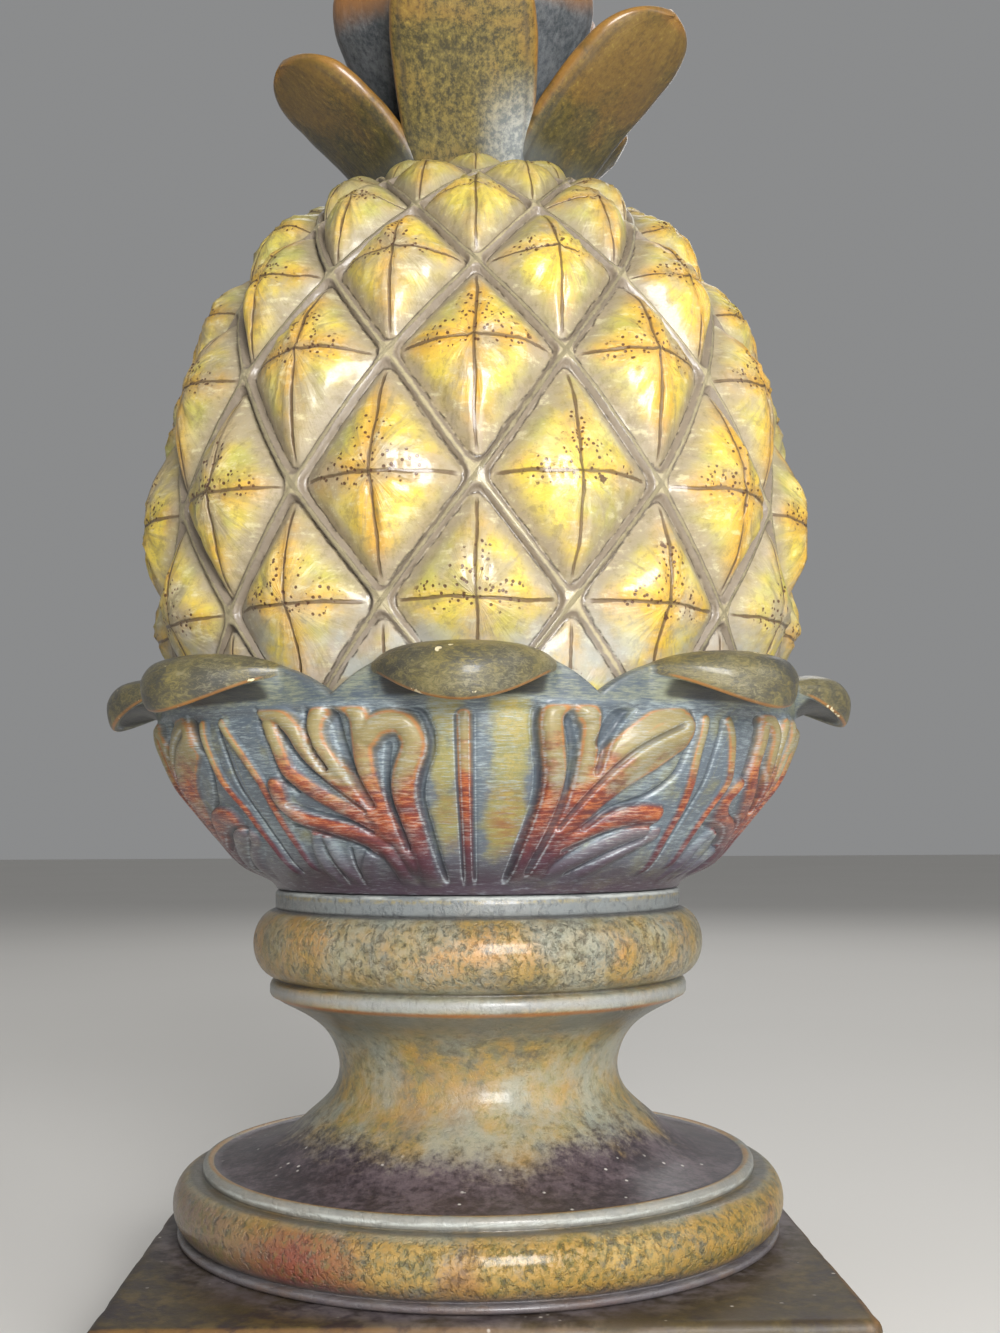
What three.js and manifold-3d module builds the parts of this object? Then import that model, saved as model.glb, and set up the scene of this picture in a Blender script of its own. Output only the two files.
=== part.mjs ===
// Pineapple finial on a turned pedestal and a square plinth.
// Millimetres, Z up, front towards -Y, origin at the bottom centre of the plinth.
// Angles are degrees from the front, positive towards +X.
import * as THREE from "three";
import { mergeVertices } from "three/addons/utils/BufferGeometryUtils.js";
import Module from "manifold-3d";

// Seams between pieces
const SEAM_GAP = 0.3;

// Plinth
const PLINTH_SIDE = 188;
const PLINTH_HEIGHT = 26;
const PLINTH_EDGE = 2.2;
const PLINTH_TURN = 1;

// Pedestal, heights above the plinth top
const PEDESTAL_HEIGHT = 98;
const FOOT_RADIUS = 87.4;
const FOOT_HEIGHT = 2;
const BASE_ROLL_RADIUS = 88.8;
const BASE_ROLL_HEIGHT = 15.5;
const RIDGE_RADIUS = 80.5;
const RIDGE_WIDTH = 4.5;
const RIDGE_HEIGHT = 3.4;
const DISH_DEPTH = 1.6;
const WAIST_RADIUS = 41.4;
const WAIST_LEVEL = 45.5;
const BELL_RADIUS = 49.5;
const BELL_LEVEL = 60.5;
const BEAD_RADIUS = 62;
const BEAD_HEIGHT = 4.6;
const NECK_ROLL_RADIUS = 67;
const NECK_ROLL_HEIGHT = 19.8;
const COLLAR_RADIUS = 60.6;
const COLLAR_HEIGHT = 5.6;

// Leaf cup
const CUP_FOOT_RADIUS = 60;
const CUP_HEIGHT = 62.5;
const BOWL_RADIUS = 95.4;
const CURL_REACH = 18;
const CUP_WALL = 5;
const CUP_FLOOR = 14;
const CUP_LEAVES = 8;
const CUP_TURN = -2;
const LOBE_RELIEF = 2.4;

// Fruit
const FRUIT_HEIGHT = 196;
const FRUIT_SWELL = 4.6;
const FRUIT_TURN = 15;
const SCALES_AROUND = 12;
const SCALE_RELIEF = 7;
const STRAP_SHARE = 0.1;

// Crown
const CROWN_HEIGHT = 92;
const CORE_RADIUS = 27;
const CORE_HEIGHT = 9;
const LEAF_WIDTH = 38;
const LEAF_THICKNESS = 7.4;

const rad = THREE.MathUtils.degToRad;

// A point at a radius, an angle from the front and a height.
function polar(radius, degrees, z) {
  const a = rad(degrees);
  return new THREE.Vector3(radius * Math.sin(a), -radius * Math.cos(a), z);
}

// Smooth step from 0 to 1 between two limits.
function ease(low, high, x) {
  const t = Math.min(1, Math.max(0, (x - low) / (high - low)));
  return t * t * (3 - 2 * t);
}

// Straight reading of a table of [position, value] rows.
function read(table, x) {
  if (x <= table[0][0]) return table[0][1];
  for (let i = 1; i < table.length; i++) {
    const [x1, y1] = table[i];
    const [x0, y0] = table[i - 1];
    if (x <= x1) return y0 + ((y1 - y0) * (x - x0)) / (x1 - x0);
  }
  return table[table.length - 1][1];
}

// A geometry from points and triangles.
function meshOf(points, triangles) {
  const flat = new Float32Array(points.flatMap((p) => [p.x, p.y, p.z]));
  const made = new THREE.BufferGeometry();
  made.setAttribute("position", new THREE.BufferAttribute(flat, 3));
  made.setIndex(triangles.flat());
  return made;
}

// Closed skin over rings of equal length, ended by one point below and one above.
// Rings run anticlockwise seen from above, from the lower end to the upper end.
function skin(low, rings, high) {
  const n = rings[0].length;
  const points = [low, ...rings.flat(), high];
  const last = points.length - 1;
  const at = (ring, i) => 1 + ring * n + (i % n);
  const faces = [];
  for (let i = 0; i < n; i++) {
    faces.push([0, at(0, i + 1), at(0, i)]);
    for (let r = 0; r + 1 < rings.length; r++) {
      faces.push([at(r, i), at(r, i + 1), at(r + 1, i + 1)]);
      faces.push([at(r, i), at(r + 1, i + 1), at(r + 1, i)]);
    }
    faces.push([last, at(rings.length - 1, i), at(rings.length - 1, i + 1)]);
  }
  return meshOf(points, faces);
}

// Solid of revolution from a profile of [radius, z] rows, from below upwards.
function turned(profile, segments) {
  const rings = profile.map(([radius, z]) =>
    Array.from({ length: segments }, (_, i) => polar(radius, (360 * i) / segments, z)),
  );
  const bottom = profile[0][1];
  const top = profile[profile.length - 1][1];
  return skin(new THREE.Vector3(0, 0, bottom), rings, new THREE.Vector3(0, 0, top));
}

// Rows of a half-round roll between two heights, standing out to a radius.
function roll(radius, low, high, steps) {
  const half = (high - low) / 2;
  return Array.from({ length: steps + 1 }, (_, i) => {
    const a = -Math.PI / 2 + (Math.PI * (i + 0.5)) / (steps + 1);
    return [radius - half * 0.75 * (1 - Math.cos(a)), low + half + half * Math.sin(a)];
  });
}

// Levels of the seams
const plinthTop = PLINTH_HEIGHT;
const pedestalFoot = plinthTop + SEAM_GAP;
const pedestalTop = plinthTop + PEDESTAL_HEIGHT;
const cupFoot = pedestalTop + SEAM_GAP;
const cupTop = cupFoot + CUP_HEIGHT;
const fruitTop = cupFoot + CUP_FLOOR + FRUIT_HEIGHT;
const crownFoot = fruitTop + SEAM_GAP;

// The fruit follows the bowl that it sits in.
const fruitRadius = BOWL_RADIUS + FRUIT_SWELL;

// Plinth: a square slab with worn-looking bevelled edges.
function plinth() {
  const half = PLINTH_SIDE / 2;
  const square = (inset, z) => {
    const s = half - inset;
    const e = Math.max(0, PLINTH_EDGE - inset);
    return [
      [s, -s + e], [s, s - e], [s - e, s], [-s + e, s],
      [-s, s - e], [-s, -s + e], [-s + e, -s], [s - e, -s],
    ].map(([x, y]) => new THREE.Vector3(x, y, z));
  };
  const bevel = PLINTH_EDGE / 2;
  const made = skin(
    new THREE.Vector3(0, 0, 0),
    [square(bevel, 0), square(0, bevel), square(0, plinthTop - bevel), square(bevel, plinthTop)],
    new THREE.Vector3(0, 0, plinthTop),
  );
  return made.rotateZ(rad(PLINTH_TURN));
}

// Pedestal: foot, base roll, ridge, dish, waisted stem, bead, neck roll and collar.
function pedestal() {
  const z0 = pedestalFoot;
  const rollLow = z0 + FOOT_HEIGHT;
  const rollHigh = rollLow + BASE_ROLL_HEIGHT;
  const ridgeTop = rollHigh + RIDGE_HEIGHT;
  const dish = RIDGE_RADIUS - RIDGE_WIDTH;
  const waist = plinthTop + WAIST_LEVEL;
  const bell = plinthTop + BELL_LEVEL;
  const collarLow = pedestalTop - COLLAR_HEIGHT;
  const neckLow = collarLow - NECK_ROLL_HEIGHT;
  const beadLow = neckLow - BEAD_HEIGHT - 1;
  const flare = (share) => WAIST_RADIUS + (dish - WAIST_RADIUS) * share;
  const climb = (share) => ridgeTop - DISH_DEPTH + (waist - ridgeTop) * share;
  const profile = [
    [FOOT_RADIUS, z0],
    [FOOT_RADIUS, rollLow],
    ...roll(BASE_ROLL_RADIUS, rollLow, rollHigh, 4),
    [RIDGE_RADIUS, rollHigh],
    [RIDGE_RADIUS, ridgeTop - 1.2],
    [RIDGE_RADIUS - 1.4, ridgeTop],
    [dish, ridgeTop],
    [dish - 2.5, climb(0)],
    [flare(0.56), climb(0.22)],
    [flare(0.26), climb(0.52)],
    [flare(0.07), climb(0.78)],
    [WAIST_RADIUS, waist],
    [WAIST_RADIUS + (BELL_RADIUS - WAIST_RADIUS) * 0.36, (waist + bell) / 2 + 2],
    [BELL_RADIUS, bell],
    [BELL_RADIUS + (BEAD_RADIUS - BELL_RADIUS) * 0.74, beadLow - 1.2],
    ...roll(BEAD_RADIUS, beadLow, beadLow + BEAD_HEIGHT, 2),
    [BEAD_RADIUS - 3, neckLow - 0.5],
    ...roll(NECK_ROLL_RADIUS, neckLow, collarLow, 4),
    [COLLAR_RADIUS, collarLow],
    [COLLAR_RADIUS, pedestalTop - 1],
    [COLLAR_RADIUS - 1, pedestalTop],
  ];
  return turned(profile, 36);
}

// Outer bowl radius by share of the cup height, as shares of the bowl radius.
const BOWL_SHAPE = [
  [0, 0.631], [0.02, 0.64], [0.1, 0.724], [0.23, 0.805], [0.35, 0.872],
  [0.465, 0.933], [0.58, 0.971], [0.7, 1], [0.8, 1],
];

// Inner wall radius of the cup by height, which the fruit follows inside.
function cupInside(z) {
  const share = (z - cupFoot) / CUP_HEIGHT;
  return read(BOWL_SHAPE, share) * BOWL_RADIUS - CUP_WALL;
}

// Rim sections from the bowl edge over the lip to the inside: notch, flank and full curl.
// Rows are [offset from the bowl radius, height share]. An outward offset is a share of
// the curl's reach, an inward one a share of the wall.
const RIM_NOTCH = [
  [0, 0.745], [0, 0.77], [-0.04, 0.795], [-0.16, 0.81], [-0.4, 0.82],
  [-0.6, 0.82], [-0.8, 0.81], [-0.96, 0.79],
];
const RIM_FLANK = [
  [0.017, 0.78], [0.067, 0.82], [0.111, 0.87], [0.122, 0.91], [0.067, 0.94],
  [-0.12, 0.945], [-0.52, 0.93], [-0.84, 0.88],
];
const RIM_CURL = [
  [0.022, 0.76], [0.39, 0.765], [0.75, 0.775], [1, 0.84], [0.978, 0.93],
  [0.611, 0.995], [0.111, 0.99], [-0.7, 0.91],
];

// One rim row at a leaf position from -1 to 1, where 0 is the middle of the leaf.
function rimRow(i, w) {
  const raise = 1 - ease(0.66, 1, Math.abs(w));
  const curl = 1 - ease(0.3, 0.76, Math.abs(w));
  const mix = (a, b, t) => a + (b - a) * t;
  const [notch, flank, full] = [RIM_NOTCH[i], RIM_FLANK[i], RIM_CURL[i]].map(
    ([offset, share]) => [offset * (offset > 0 ? CURL_REACH : CUP_WALL), share],
  );
  const side = [0, 1].map((k) => mix(notch[k], flank[k], raise));
  return [
    BOWL_RADIUS + mix(side[0], full[0], curl),
    cupFoot + CUP_HEIGHT * mix(side[1], full[1], curl),
  ];
}

// Stand-out of the lobes carved on the bowl, by leaf position and height share.
function lobes(w, share) {
  const side = Math.abs(w);
  const spread = 0.55 + 0.45 * ease(0.1, 0.75, share);
  const x = side / spread;
  const rib = Math.exp(-(((side - 0.05) / 0.09) ** 2)) * 0.4;
  const inner = Math.exp(-(((x - 0.36) / 0.1) ** 2));
  const outer = Math.exp(-(((x - 0.82) / 0.13) ** 2)) * 0.85;
  const band = ease(0.06, 0.3, share) * (1 - ease(0.62, 0.74, share));
  return LOBE_RELIEF * (rib + inner + outer - 0.35) * band;
}

// Leaf cup: a bowl of leaves with curled lips, hollowed to seat the fruit.
function leafCup() {
  const places = [-1, -0.8, -0.6, -0.36, -0.12, 0.12, 0.36, 0.6, 0.8];
  const columns = [];
  for (let leaf = 0; leaf < CUP_LEAVES; leaf++) {
    for (const w of places) {
      const pitch = 360 / CUP_LEAVES;
      columns.push({ w, degrees: CUP_TURN + pitch * (leaf + w / 2) });
    }
  }
  const ring = (row) => columns.map(({ w, degrees }) => {
    const [radius, z] = row(w);
    return polar(radius, degrees, z);
  });
  const rings = [ring(() => [CUP_FOOT_RADIUS, cupFoot])];
  for (const share of [0.03, 0.12, 0.24, 0.37, 0.5, 0.6, 0.68]) {
    const z = cupFoot + CUP_HEIGHT * share;
    rings.push(ring((w) => [read(BOWL_SHAPE, share) * BOWL_RADIUS + lobes(w, share), z]));
  }
  for (let i = 0; i < RIM_NOTCH.length; i++) rings.push(ring((w) => rimRow(i, w)));
  for (const share of [0.7, 0.5, 0.3]) {
    const z = cupFoot + CUP_HEIGHT * share;
    rings.push(ring(() => [cupInside(z), z]));
  }
  const floor = cupFoot + CUP_FLOOR;
  rings.push(ring(() => [cupInside(floor), floor]));
  return skin(new THREE.Vector3(0, 0, cupFoot), rings, new THREE.Vector3(0, 0, floor));
}

// Heights of the scale lattice, one row per half scale, above the fruit's foot.
const LATTICE = [
  [-1, 0.148], [0, 0.306], [1, 0.465], [2, 0.638], [3, 0.775],
  [4, 0.886], [5, 0.958], [6, 1],
];

// Radius of the strap lattice by height share, as shares of the fruit radius.
const FRUIT_SHAPE = [
  [0.148, 0.88], [0.22, 0.9], [0.306, 0.917], [0.383, 0.93], [0.465, 0.936],
  [0.546, 0.918], [0.638, 0.878], [0.71, 0.83], [0.775, 0.776], [0.84, 0.704],
  [0.886, 0.635], [0.925, 0.575], [0.958, 0.51], [1, 0.4],
];

const LOWEST_LEVEL = LATTICE[0][0];
const TOP_LEVEL = LATTICE[LATTICE.length - 1][0];

// Height of the relief inside one scale, from the lattice coordinates of a point.
function scaleRelief(u, v) {
  const du = Math.abs(u - Math.floor(u) - 0.5) * 2;
  const dv = Math.abs(v - Math.floor(v) - 0.5) * 2;
  const m = Math.max(du, dv);
  const edge = 1 - 2 * STRAP_SHARE;
  if (m > edge + 1e-6) return 0;
  const crease = Math.abs(du - dv) < 0.05 && m > 0.1 ? 0.9 : 0;
  return SCALE_RELIEF * (1 - (m / edge) ** 1.9) - crease - (m > edge - 1e-6 ? 1 : 0);
}

// A point of the fruit skin from lattice coordinates.
function fruitPoint(u, v) {
  const height = fruitTop - cupFoot - CUP_FLOOR;
  const foot = cupFoot + CUP_FLOOR;
  const level = u + v;
  const share = read(LATTICE, level);
  const across = read(FRUIT_SHAPE, share + 0.01) - read(FRUIT_SHAPE, share - 0.01);
  const lean = Math.atan2(-across * fruitRadius, 0.02 * height);
  const fade = ease(-0.6, 0.2, level) * (1 - 0.6 * ease(TOP_LEVEL - 2.5, TOP_LEVEL, level));
  const relief = scaleRelief(u, v) * fade;
  const z = foot + height * share + relief * Math.sin(lean);
  let radius = fruitRadius * read(FRUIT_SHAPE, share) + relief * Math.cos(lean);
  if (z < cupFoot + 0.93 * CUP_HEIGHT) radius = Math.min(radius, cupInside(z) - SEAM_GAP);
  return polar(radius, (180 / SCALES_AROUND) * (u - v) + FRUIT_TURN, z);
}

// Fruit: rows of four-sided scales between raised straps, with a plain hidden seat.
function fruit() {
  const points = [];
  const faces = [];
  const known = new Map();
  const around = SCALES_AROUND;
  const index = (u, v) => {
    const level = u + v;
    const turn = (((u - v) % (2 * around)) + 2 * around) % (2 * around);
    const key = Math.round(level * 1000) + "/" + (Math.round(turn * 1000) % (2000 * around));
    if (!known.has(key)) {
      known.set(key, points.length);
      points.push(fruitPoint(u, v));
    }
    return known.get(key);
  };
  const add = (...corners) => {
    const levels = corners.map(([u, v]) => u + v);
    if (Math.min(...levels) < LOWEST_LEVEL - 1e-6) return;
    if (Math.max(...levels) > TOP_LEVEL + 1e-6) return;
    faces.push(corners.map(([u, v]) => index(u, v)));
  };
  const knots = [STRAP_SHARE, 0.5, 1 - STRAP_SHARE, 1 + STRAP_SHARE];
  // Scales whose middle lies at one level, taken all round the fruit.
  const patch = (u0, v0) => {
    for (let i = 0; i < 3; i++) {
      for (let j = 0; j < 3; j++) {
        const [a, b] = [u0 + knots[i], u0 + knots[i + 1]];
        const [c, d] = [v0 + knots[j], v0 + knots[j + 1]];
        const middle = [(a + b) / 2, (c + d) / 2];
        if (i < 2 && j < 2) {
          add([a, c], [b, c], middle);
          add([b, c], [b, d], middle);
          add([b, d], [a, d], middle);
          add([a, d], [a, c], middle);
        } else {
          add([a, c], [b, c], [a, d]);
          add([b, c], [b, d], [a, d]);
        }
      }
    }
  };
  for (let level = LOWEST_LEVEL - 2; level <= TOP_LEVEL + 1; level++) {
    for (let k = 0; k < around; k++) {
      const turn = 2 * k + (level & 1);
      patch((level + turn) / 2, (level - turn) / 2);
    }
  }
  // Border rings of the skin at its lowest and highest level.
  const border = (level) => {
    const places = [...known.entries()].filter(([key]) => Number(key.split("/")[0]) === level * 1000);
    places.sort((p, q) => Number(p[0].split("/")[1]) - Number(q[0].split("/")[1]));
    return places.map(([, i]) => i);
  };
  const close = (from, ring, end, flip) => {
    let previous = from;
    const push = (a, b, c) => faces.push(flip ? [a, c, b] : [a, b, c]);
    for (const make of [...ring, null]) {
      const next = make ? previous.map((i) => points.push(make(points[i])) - 1) : null;
      const tip = make ? -1 : points.push(end) - 1;
      for (let i = 0; i < previous.length; i++) {
        const j = (i + 1) % previous.length;
        if (next) {
          push(previous[i], previous[j], next[j]);
          push(previous[i], next[j], next[i]);
        } else {
          push(previous[i], previous[j], tip);
        }
      }
      previous = next;
    }
  };
  const ringAt = (radius, z) => (p) => {
    const flat = Math.hypot(p.x, p.y);
    return new THREE.Vector3((p.x / flat) * radius, (p.y / flat) * radius, z);
  };
  const seat = cupFoot + CUP_FLOOR + SEAM_GAP;
  close(
    border(TOP_LEVEL),
    [ringAt(CORE_RADIUS + 3, fruitTop)],
    new THREE.Vector3(0, 0, fruitTop),
    false,
  );
  close(
    border(LOWEST_LEVEL),
    [ringAt(cupInside(seat) - 1.2, seat)],
    new THREE.Vector3(0, 0, seat),
    true,
  );
  return meshOf(points, faces);
}

// One crown leaf: a thick paddle bending outwards as it rises.
// reach and rise are the tip's distance and height from the root.
function crownLeaf({ degrees, root, reach, rise, width, bend, foot }) {
  const widths = [
    [0, 0.64], [0.25, 0.86], [0.5, 0.98], [0.7, 1], [0.84, 0.93], [0.93, 0.72], [0.98, 0.4],
  ];
  const stations = [0, 0.3, 0.55, 0.75, 0.88, 0.96];
  const sides = 8;
  const path = (t) => {
    const out = root + reach * (t * (1 - bend) + bend * t * t);
    const up = foot + rise * (t * (1 + 0.25 * bend) - 0.25 * bend * t * t);
    return [out, up];
  };
  const rings = stations.map((t) => {
    const [r0, z0] = path(t);
    const [r1, z1] = path(t + 0.01);
    const tilt = Math.atan2(r1 - r0, z1 - z0);
    const half = (read(widths, t) * width) / 2;
    const thick = (LEAF_THICKNESS / 2) * (t < 0.8 ? 1 : 1 - 0.45 * ease(0.8, 1, t));
    return Array.from({ length: sides }, (_, i) => {
      const a = (Math.PI * (2 * i + 1)) / sides;
      const side = half * Math.sign(Math.cos(a)) * Math.abs(Math.cos(a)) ** 0.8;
      const camber = 3.2 * (1 - (side / half) ** 2);
      const depth = thick * Math.sin(a) * 1.08 - camber;
      return { side, out: r0 - depth * Math.cos(tilt), up: z0 + depth * Math.sin(tilt) };
    });
  });
  const place = ({ side, out, up }) =>
    new THREE.Vector3(side, -out, up).applyAxisAngle(new THREE.Vector3(0, 0, 1), rad(degrees));
  const [tipOut, tipUp] = path(1);
  const [rootOut] = path(0);
  const middle = LEAF_THICKNESS * 0.25;
  return skin(
    place({ side: 0, out: rootOut + middle, up: foot }),
    rings.map((ring) => ring.map(place)),
    place({ side: 0, out: tipOut + middle * 0.5, up: tipUp }),
  );
}

// Crown leaves: angle, root radius, then reach and rise of the tip and width as shares
// of the crown height and of the leaf width, then the bend.
const OUTER_RING = [
  [-4, 25, 0.44, 0.53, 1.12, 0.3], [52, 25, 0.53, 0.44, 1.06, 0.45],
  [-63, 26, 0.43, 0.36, 1.06, 0.5], [114, 25, 0.29, 0.35, 0.85, 0.5],
  [173, 25, 0.46, 0.44, 1, 0.4], [232, 25, 0.33, 0.42, 0.9, 0.45],
];
const SECOND_RING = [
  [28, 15, 0.38, 0.66, 1, 0.4], [-38, 15, 0.44, 0.6, 0.98, 0.4],
  [86, 15, 0.24, 0.66, 0.9, 0.4], [145, 15, 0.36, 0.63, 1, 0.4],
  [204, 15, 0.36, 0.6, 0.95, 0.4], [262, 15, 0.22, 0.65, 0.9, 0.4],
];
const INNER_RING = [
  [-5, 5, 0.14, 0.96, 0.74, 0.3], [118, 5, 0.15, 0.88, 0.72, 0.3], [238, 5, 0.14, 0.92, 0.72, 0.3],
];

// Crown: rings of leaves on a low core, the inner ones steeper and taller.
function crownLeaves() {
  const foot = crownFoot + 1.5;
  return [...OUTER_RING, ...SECOND_RING, ...INNER_RING].map(
    ([degrees, root, reach, rise, width, bend]) => crownLeaf({
      degrees, root, bend, foot,
      reach: CROWN_HEIGHT * reach,
      rise: CROWN_HEIGHT * rise,
      width: LEAF_WIDTH * width,
    }),
  );
}

// Joins overlapping closed geometries into one and cuts others away from it.
async function joined(parts, cuts) {
  const wasm = await Module();
  wasm.setup();
  const solid = (geometry) => {
    const bare = new THREE.BufferGeometry();
    bare.setAttribute("position", geometry.getAttribute("position"));
    bare.setIndex(geometry.index);
    const merged = mergeVertices(bare, 1e-4);
    return new wasm.Manifold(new wasm.Mesh({
      numProp: 3,
      vertProperties: merged.attributes.position.array,
      triVerts: new Uint32Array(merged.index.array),
    }));
  };
  const whole = parts.map(solid).reduce((a, b) => a.add(b));
  const all = cuts.map(solid).reduce((a, b) => a.subtract(b), whole);
  const { vertProperties, triVerts } = all.getMesh();
  const made = new THREE.BufferGeometry();
  made.setAttribute("position", new THREE.BufferAttribute(vertProperties, 3));
  made.setIndex(new THREE.BufferAttribute(triVerts, 1));
  return made;
}

const coreTop = crownFoot + CORE_HEIGHT;
const coreShape = [
  [CORE_RADIUS, crownFoot - 1], [CORE_RADIUS, coreTop], [CORE_RADIUS - 5, coreTop + 4],
];
const core = turned(coreShape, 14);
const underCrown = turned([[fruitRadius, fruitTop - CROWN_HEIGHT], [fruitRadius, crownFoot]], 16);

const group = new THREE.Group();
group.name = "pineapple_finial";

// Adds one named piece with its own paint.
function piece(name, geometry, color, roughness) {
  const paint = new THREE.MeshStandardMaterial({ color, roughness });
  const mesh = new THREE.Mesh(geometry, paint);
  mesh.name = name;
  group.add(mesh);
}

piece("plinth", plinth(), 0x3a3230, 0.5);
piece("pedestal", pedestal(), 0x7d6d3a, 0.4);
piece("leaf_cup", leafCup(), 0x8a5a3c, 0.4);
const fruitSkin = fruit();
const fruitClearance = fruitSkin.clone().translate(0, 0, SEAM_GAP);
piece("fruit", fruitSkin, 0xd8b544, 0.35);
piece(
  "crown",
  await joined([core, ...crownLeaves()], [underCrown, fruitClearance]),
  0x7a7a34,
  0.4,
);

export default group;
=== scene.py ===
# %% [markdown]
# # A painted pineapple finial, dressed in Blender
#
# The imported model gives plain faceted solids: a plinth, a turned pedestal, a cup of
# leaves, the fruit and its crown. This lesson makes a finer mesh for each, in the same
# place and of the same size, and paints it with materials made of nodes.
# We start by loading the solids, whose sizes the finished meshes follow.

# %% Load the frame
import math

import bmesh
import bpy
import numpy as np
from mathutils import Matrix, Vector


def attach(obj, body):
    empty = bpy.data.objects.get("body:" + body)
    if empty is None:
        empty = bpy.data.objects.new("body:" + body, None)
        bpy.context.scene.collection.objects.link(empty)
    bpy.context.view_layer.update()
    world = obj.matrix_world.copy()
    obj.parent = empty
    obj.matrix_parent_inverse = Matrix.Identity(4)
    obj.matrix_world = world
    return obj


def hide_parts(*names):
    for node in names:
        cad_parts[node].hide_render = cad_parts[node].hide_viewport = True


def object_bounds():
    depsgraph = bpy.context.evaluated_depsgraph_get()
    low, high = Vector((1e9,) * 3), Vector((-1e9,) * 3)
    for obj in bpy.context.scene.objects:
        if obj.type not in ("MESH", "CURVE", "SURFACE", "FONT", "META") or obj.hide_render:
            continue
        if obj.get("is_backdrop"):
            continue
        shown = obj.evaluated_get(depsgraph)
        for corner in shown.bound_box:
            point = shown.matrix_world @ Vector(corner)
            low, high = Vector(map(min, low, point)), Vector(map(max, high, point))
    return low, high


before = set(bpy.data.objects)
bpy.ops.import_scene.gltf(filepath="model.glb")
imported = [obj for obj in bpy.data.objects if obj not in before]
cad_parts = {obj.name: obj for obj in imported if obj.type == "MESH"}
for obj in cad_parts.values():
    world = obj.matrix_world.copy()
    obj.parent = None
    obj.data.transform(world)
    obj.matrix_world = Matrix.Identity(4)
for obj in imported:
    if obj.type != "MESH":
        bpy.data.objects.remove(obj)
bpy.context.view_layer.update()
print("nodes:", sorted(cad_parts))

# %% [markdown]
# ## Sizes
#
# All lengths are in millimetres here and become metres when a mesh is made. They are the
# driving sizes of the solids, so every finer surface lies close to the plain one that it
# replaces.

# %% Driving sizes in millimetres
SEAM = 0.3
PLINTH_SIDE, PLINTH_TOP, PLINTH_TURN = 188.0, 26.0, 1.0
PEDESTAL_TOP = PLINTH_TOP + 98.0
CUP_FOOT, CUP_HEIGHT = PEDESTAL_TOP + SEAM, 62.5
BOWL_RADIUS, CURL_REACH, CUP_WALL, CUP_FLOOR = 95.4, 18.0, 5.0, 14.0
CUP_TURN = -2.0
FRUIT_FOOT, FRUIT_HEIGHT = CUP_FOOT + CUP_FLOOR, 196.0
FRUIT_RADIUS, FRUIT_TURN = BOWL_RADIUS + 4.6, 15.0
FRUIT_TOP = FRUIT_FOOT + FRUIT_HEIGHT
CROWN_FOOT, CROWN_HEIGHT, LEAF_WIDTH, LEAF_THICKNESS = FRUIT_TOP + SEAM, 92.0, 38.0, 7.4
print("fruit from", FRUIT_FOOT, "to", FRUIT_TOP, "mm")

# %% [markdown]
# ## From numbers to a mesh
#
# A mesh in Blender is a list of points and a list of faces. The helper below takes both,
# scales the points to metres, shades the faces smooth and adds any values that the
# paint needs, each as a named attribute with one number or one vector for every point.

# %% Mesh helper
def ease(low, high, x):
    """A smooth step from 0 to 1 between two limits."""
    t = np.clip((np.asarray(x, float) - low) / (high - low), 0, 1)
    return t * t * (3 - 2 * t)


def make_mesh(name, points, faces, values=None):
    """A smooth-shaded object from points in mm, faces and values for every point."""
    mesh = bpy.data.meshes.new(name)
    mesh.from_pydata((np.asarray(points) * 0.001).tolist(), [], [list(f) for f in faces])
    for title, data in (values or {}).items():
        data = np.asarray(data, float)
        kind, field = ("FLOAT", "value") if data.ndim == 1 else ("FLOAT_VECTOR", "vector")
        layer = mesh.attributes.new(title, kind, "POINT")
        layer.data.foreach_set(field, data.ravel())
    mesh.polygons.foreach_set("use_smooth", [True] * len(mesh.polygons))
    made = bpy.data.objects.new(name, mesh)
    bpy.context.scene.collection.objects.link(made)
    return made


# %% Skins made of rings
def ring_faces(rings, around):
    """Faces between closed rings of equal length, listed from below upwards."""
    r, i = np.meshgrid(np.arange(rings - 1), np.arange(around), indexing="ij")
    j = (i + 1) % around
    low, high = r * around, (r + 1) * around
    return np.stack([low + i, low + j, high + j, high + i], -1).reshape(-1, 4).tolist()


def closed_skin(rings, low, high):
    """Points and faces of rings closed by a point below and one above."""
    count, around = rings.shape[:2]
    points = np.vstack([rings.reshape(-1, 3), [low], [high]])
    faces = ring_faces(count, around)
    first, last = count * around, count * around + 1
    top = (count - 1) * around
    for i in range(around):
        j = (i + 1) % around
        faces.append([first, j, i])
        faces.append([last, top + i, top + j])
    return points, faces


def report(piece):
    """Prints the size and the triangle count of a finished piece."""
    corners = np.array([v.co for v in piece.data.vertices]) * 1000
    triangles = sum(len(p.vertices) - 2 for p in piece.data.polygons)
    size = (corners.max(0) - corners.min(0)).round(1)
    print(piece.name, "measures", size.tolist(), "mm and has", triangles, "triangles")


# %% [markdown]
# ## Node sums that read like Python
#
# Geometry and shader trees use the same Math nodes. The class below wraps one socket, so
# that an expression such as 1 - mask * 0.5 adds the nodes it needs. A second class
# writes all other nodes through one method: first the node's settings, then the values
# or links of its sockets.

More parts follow.
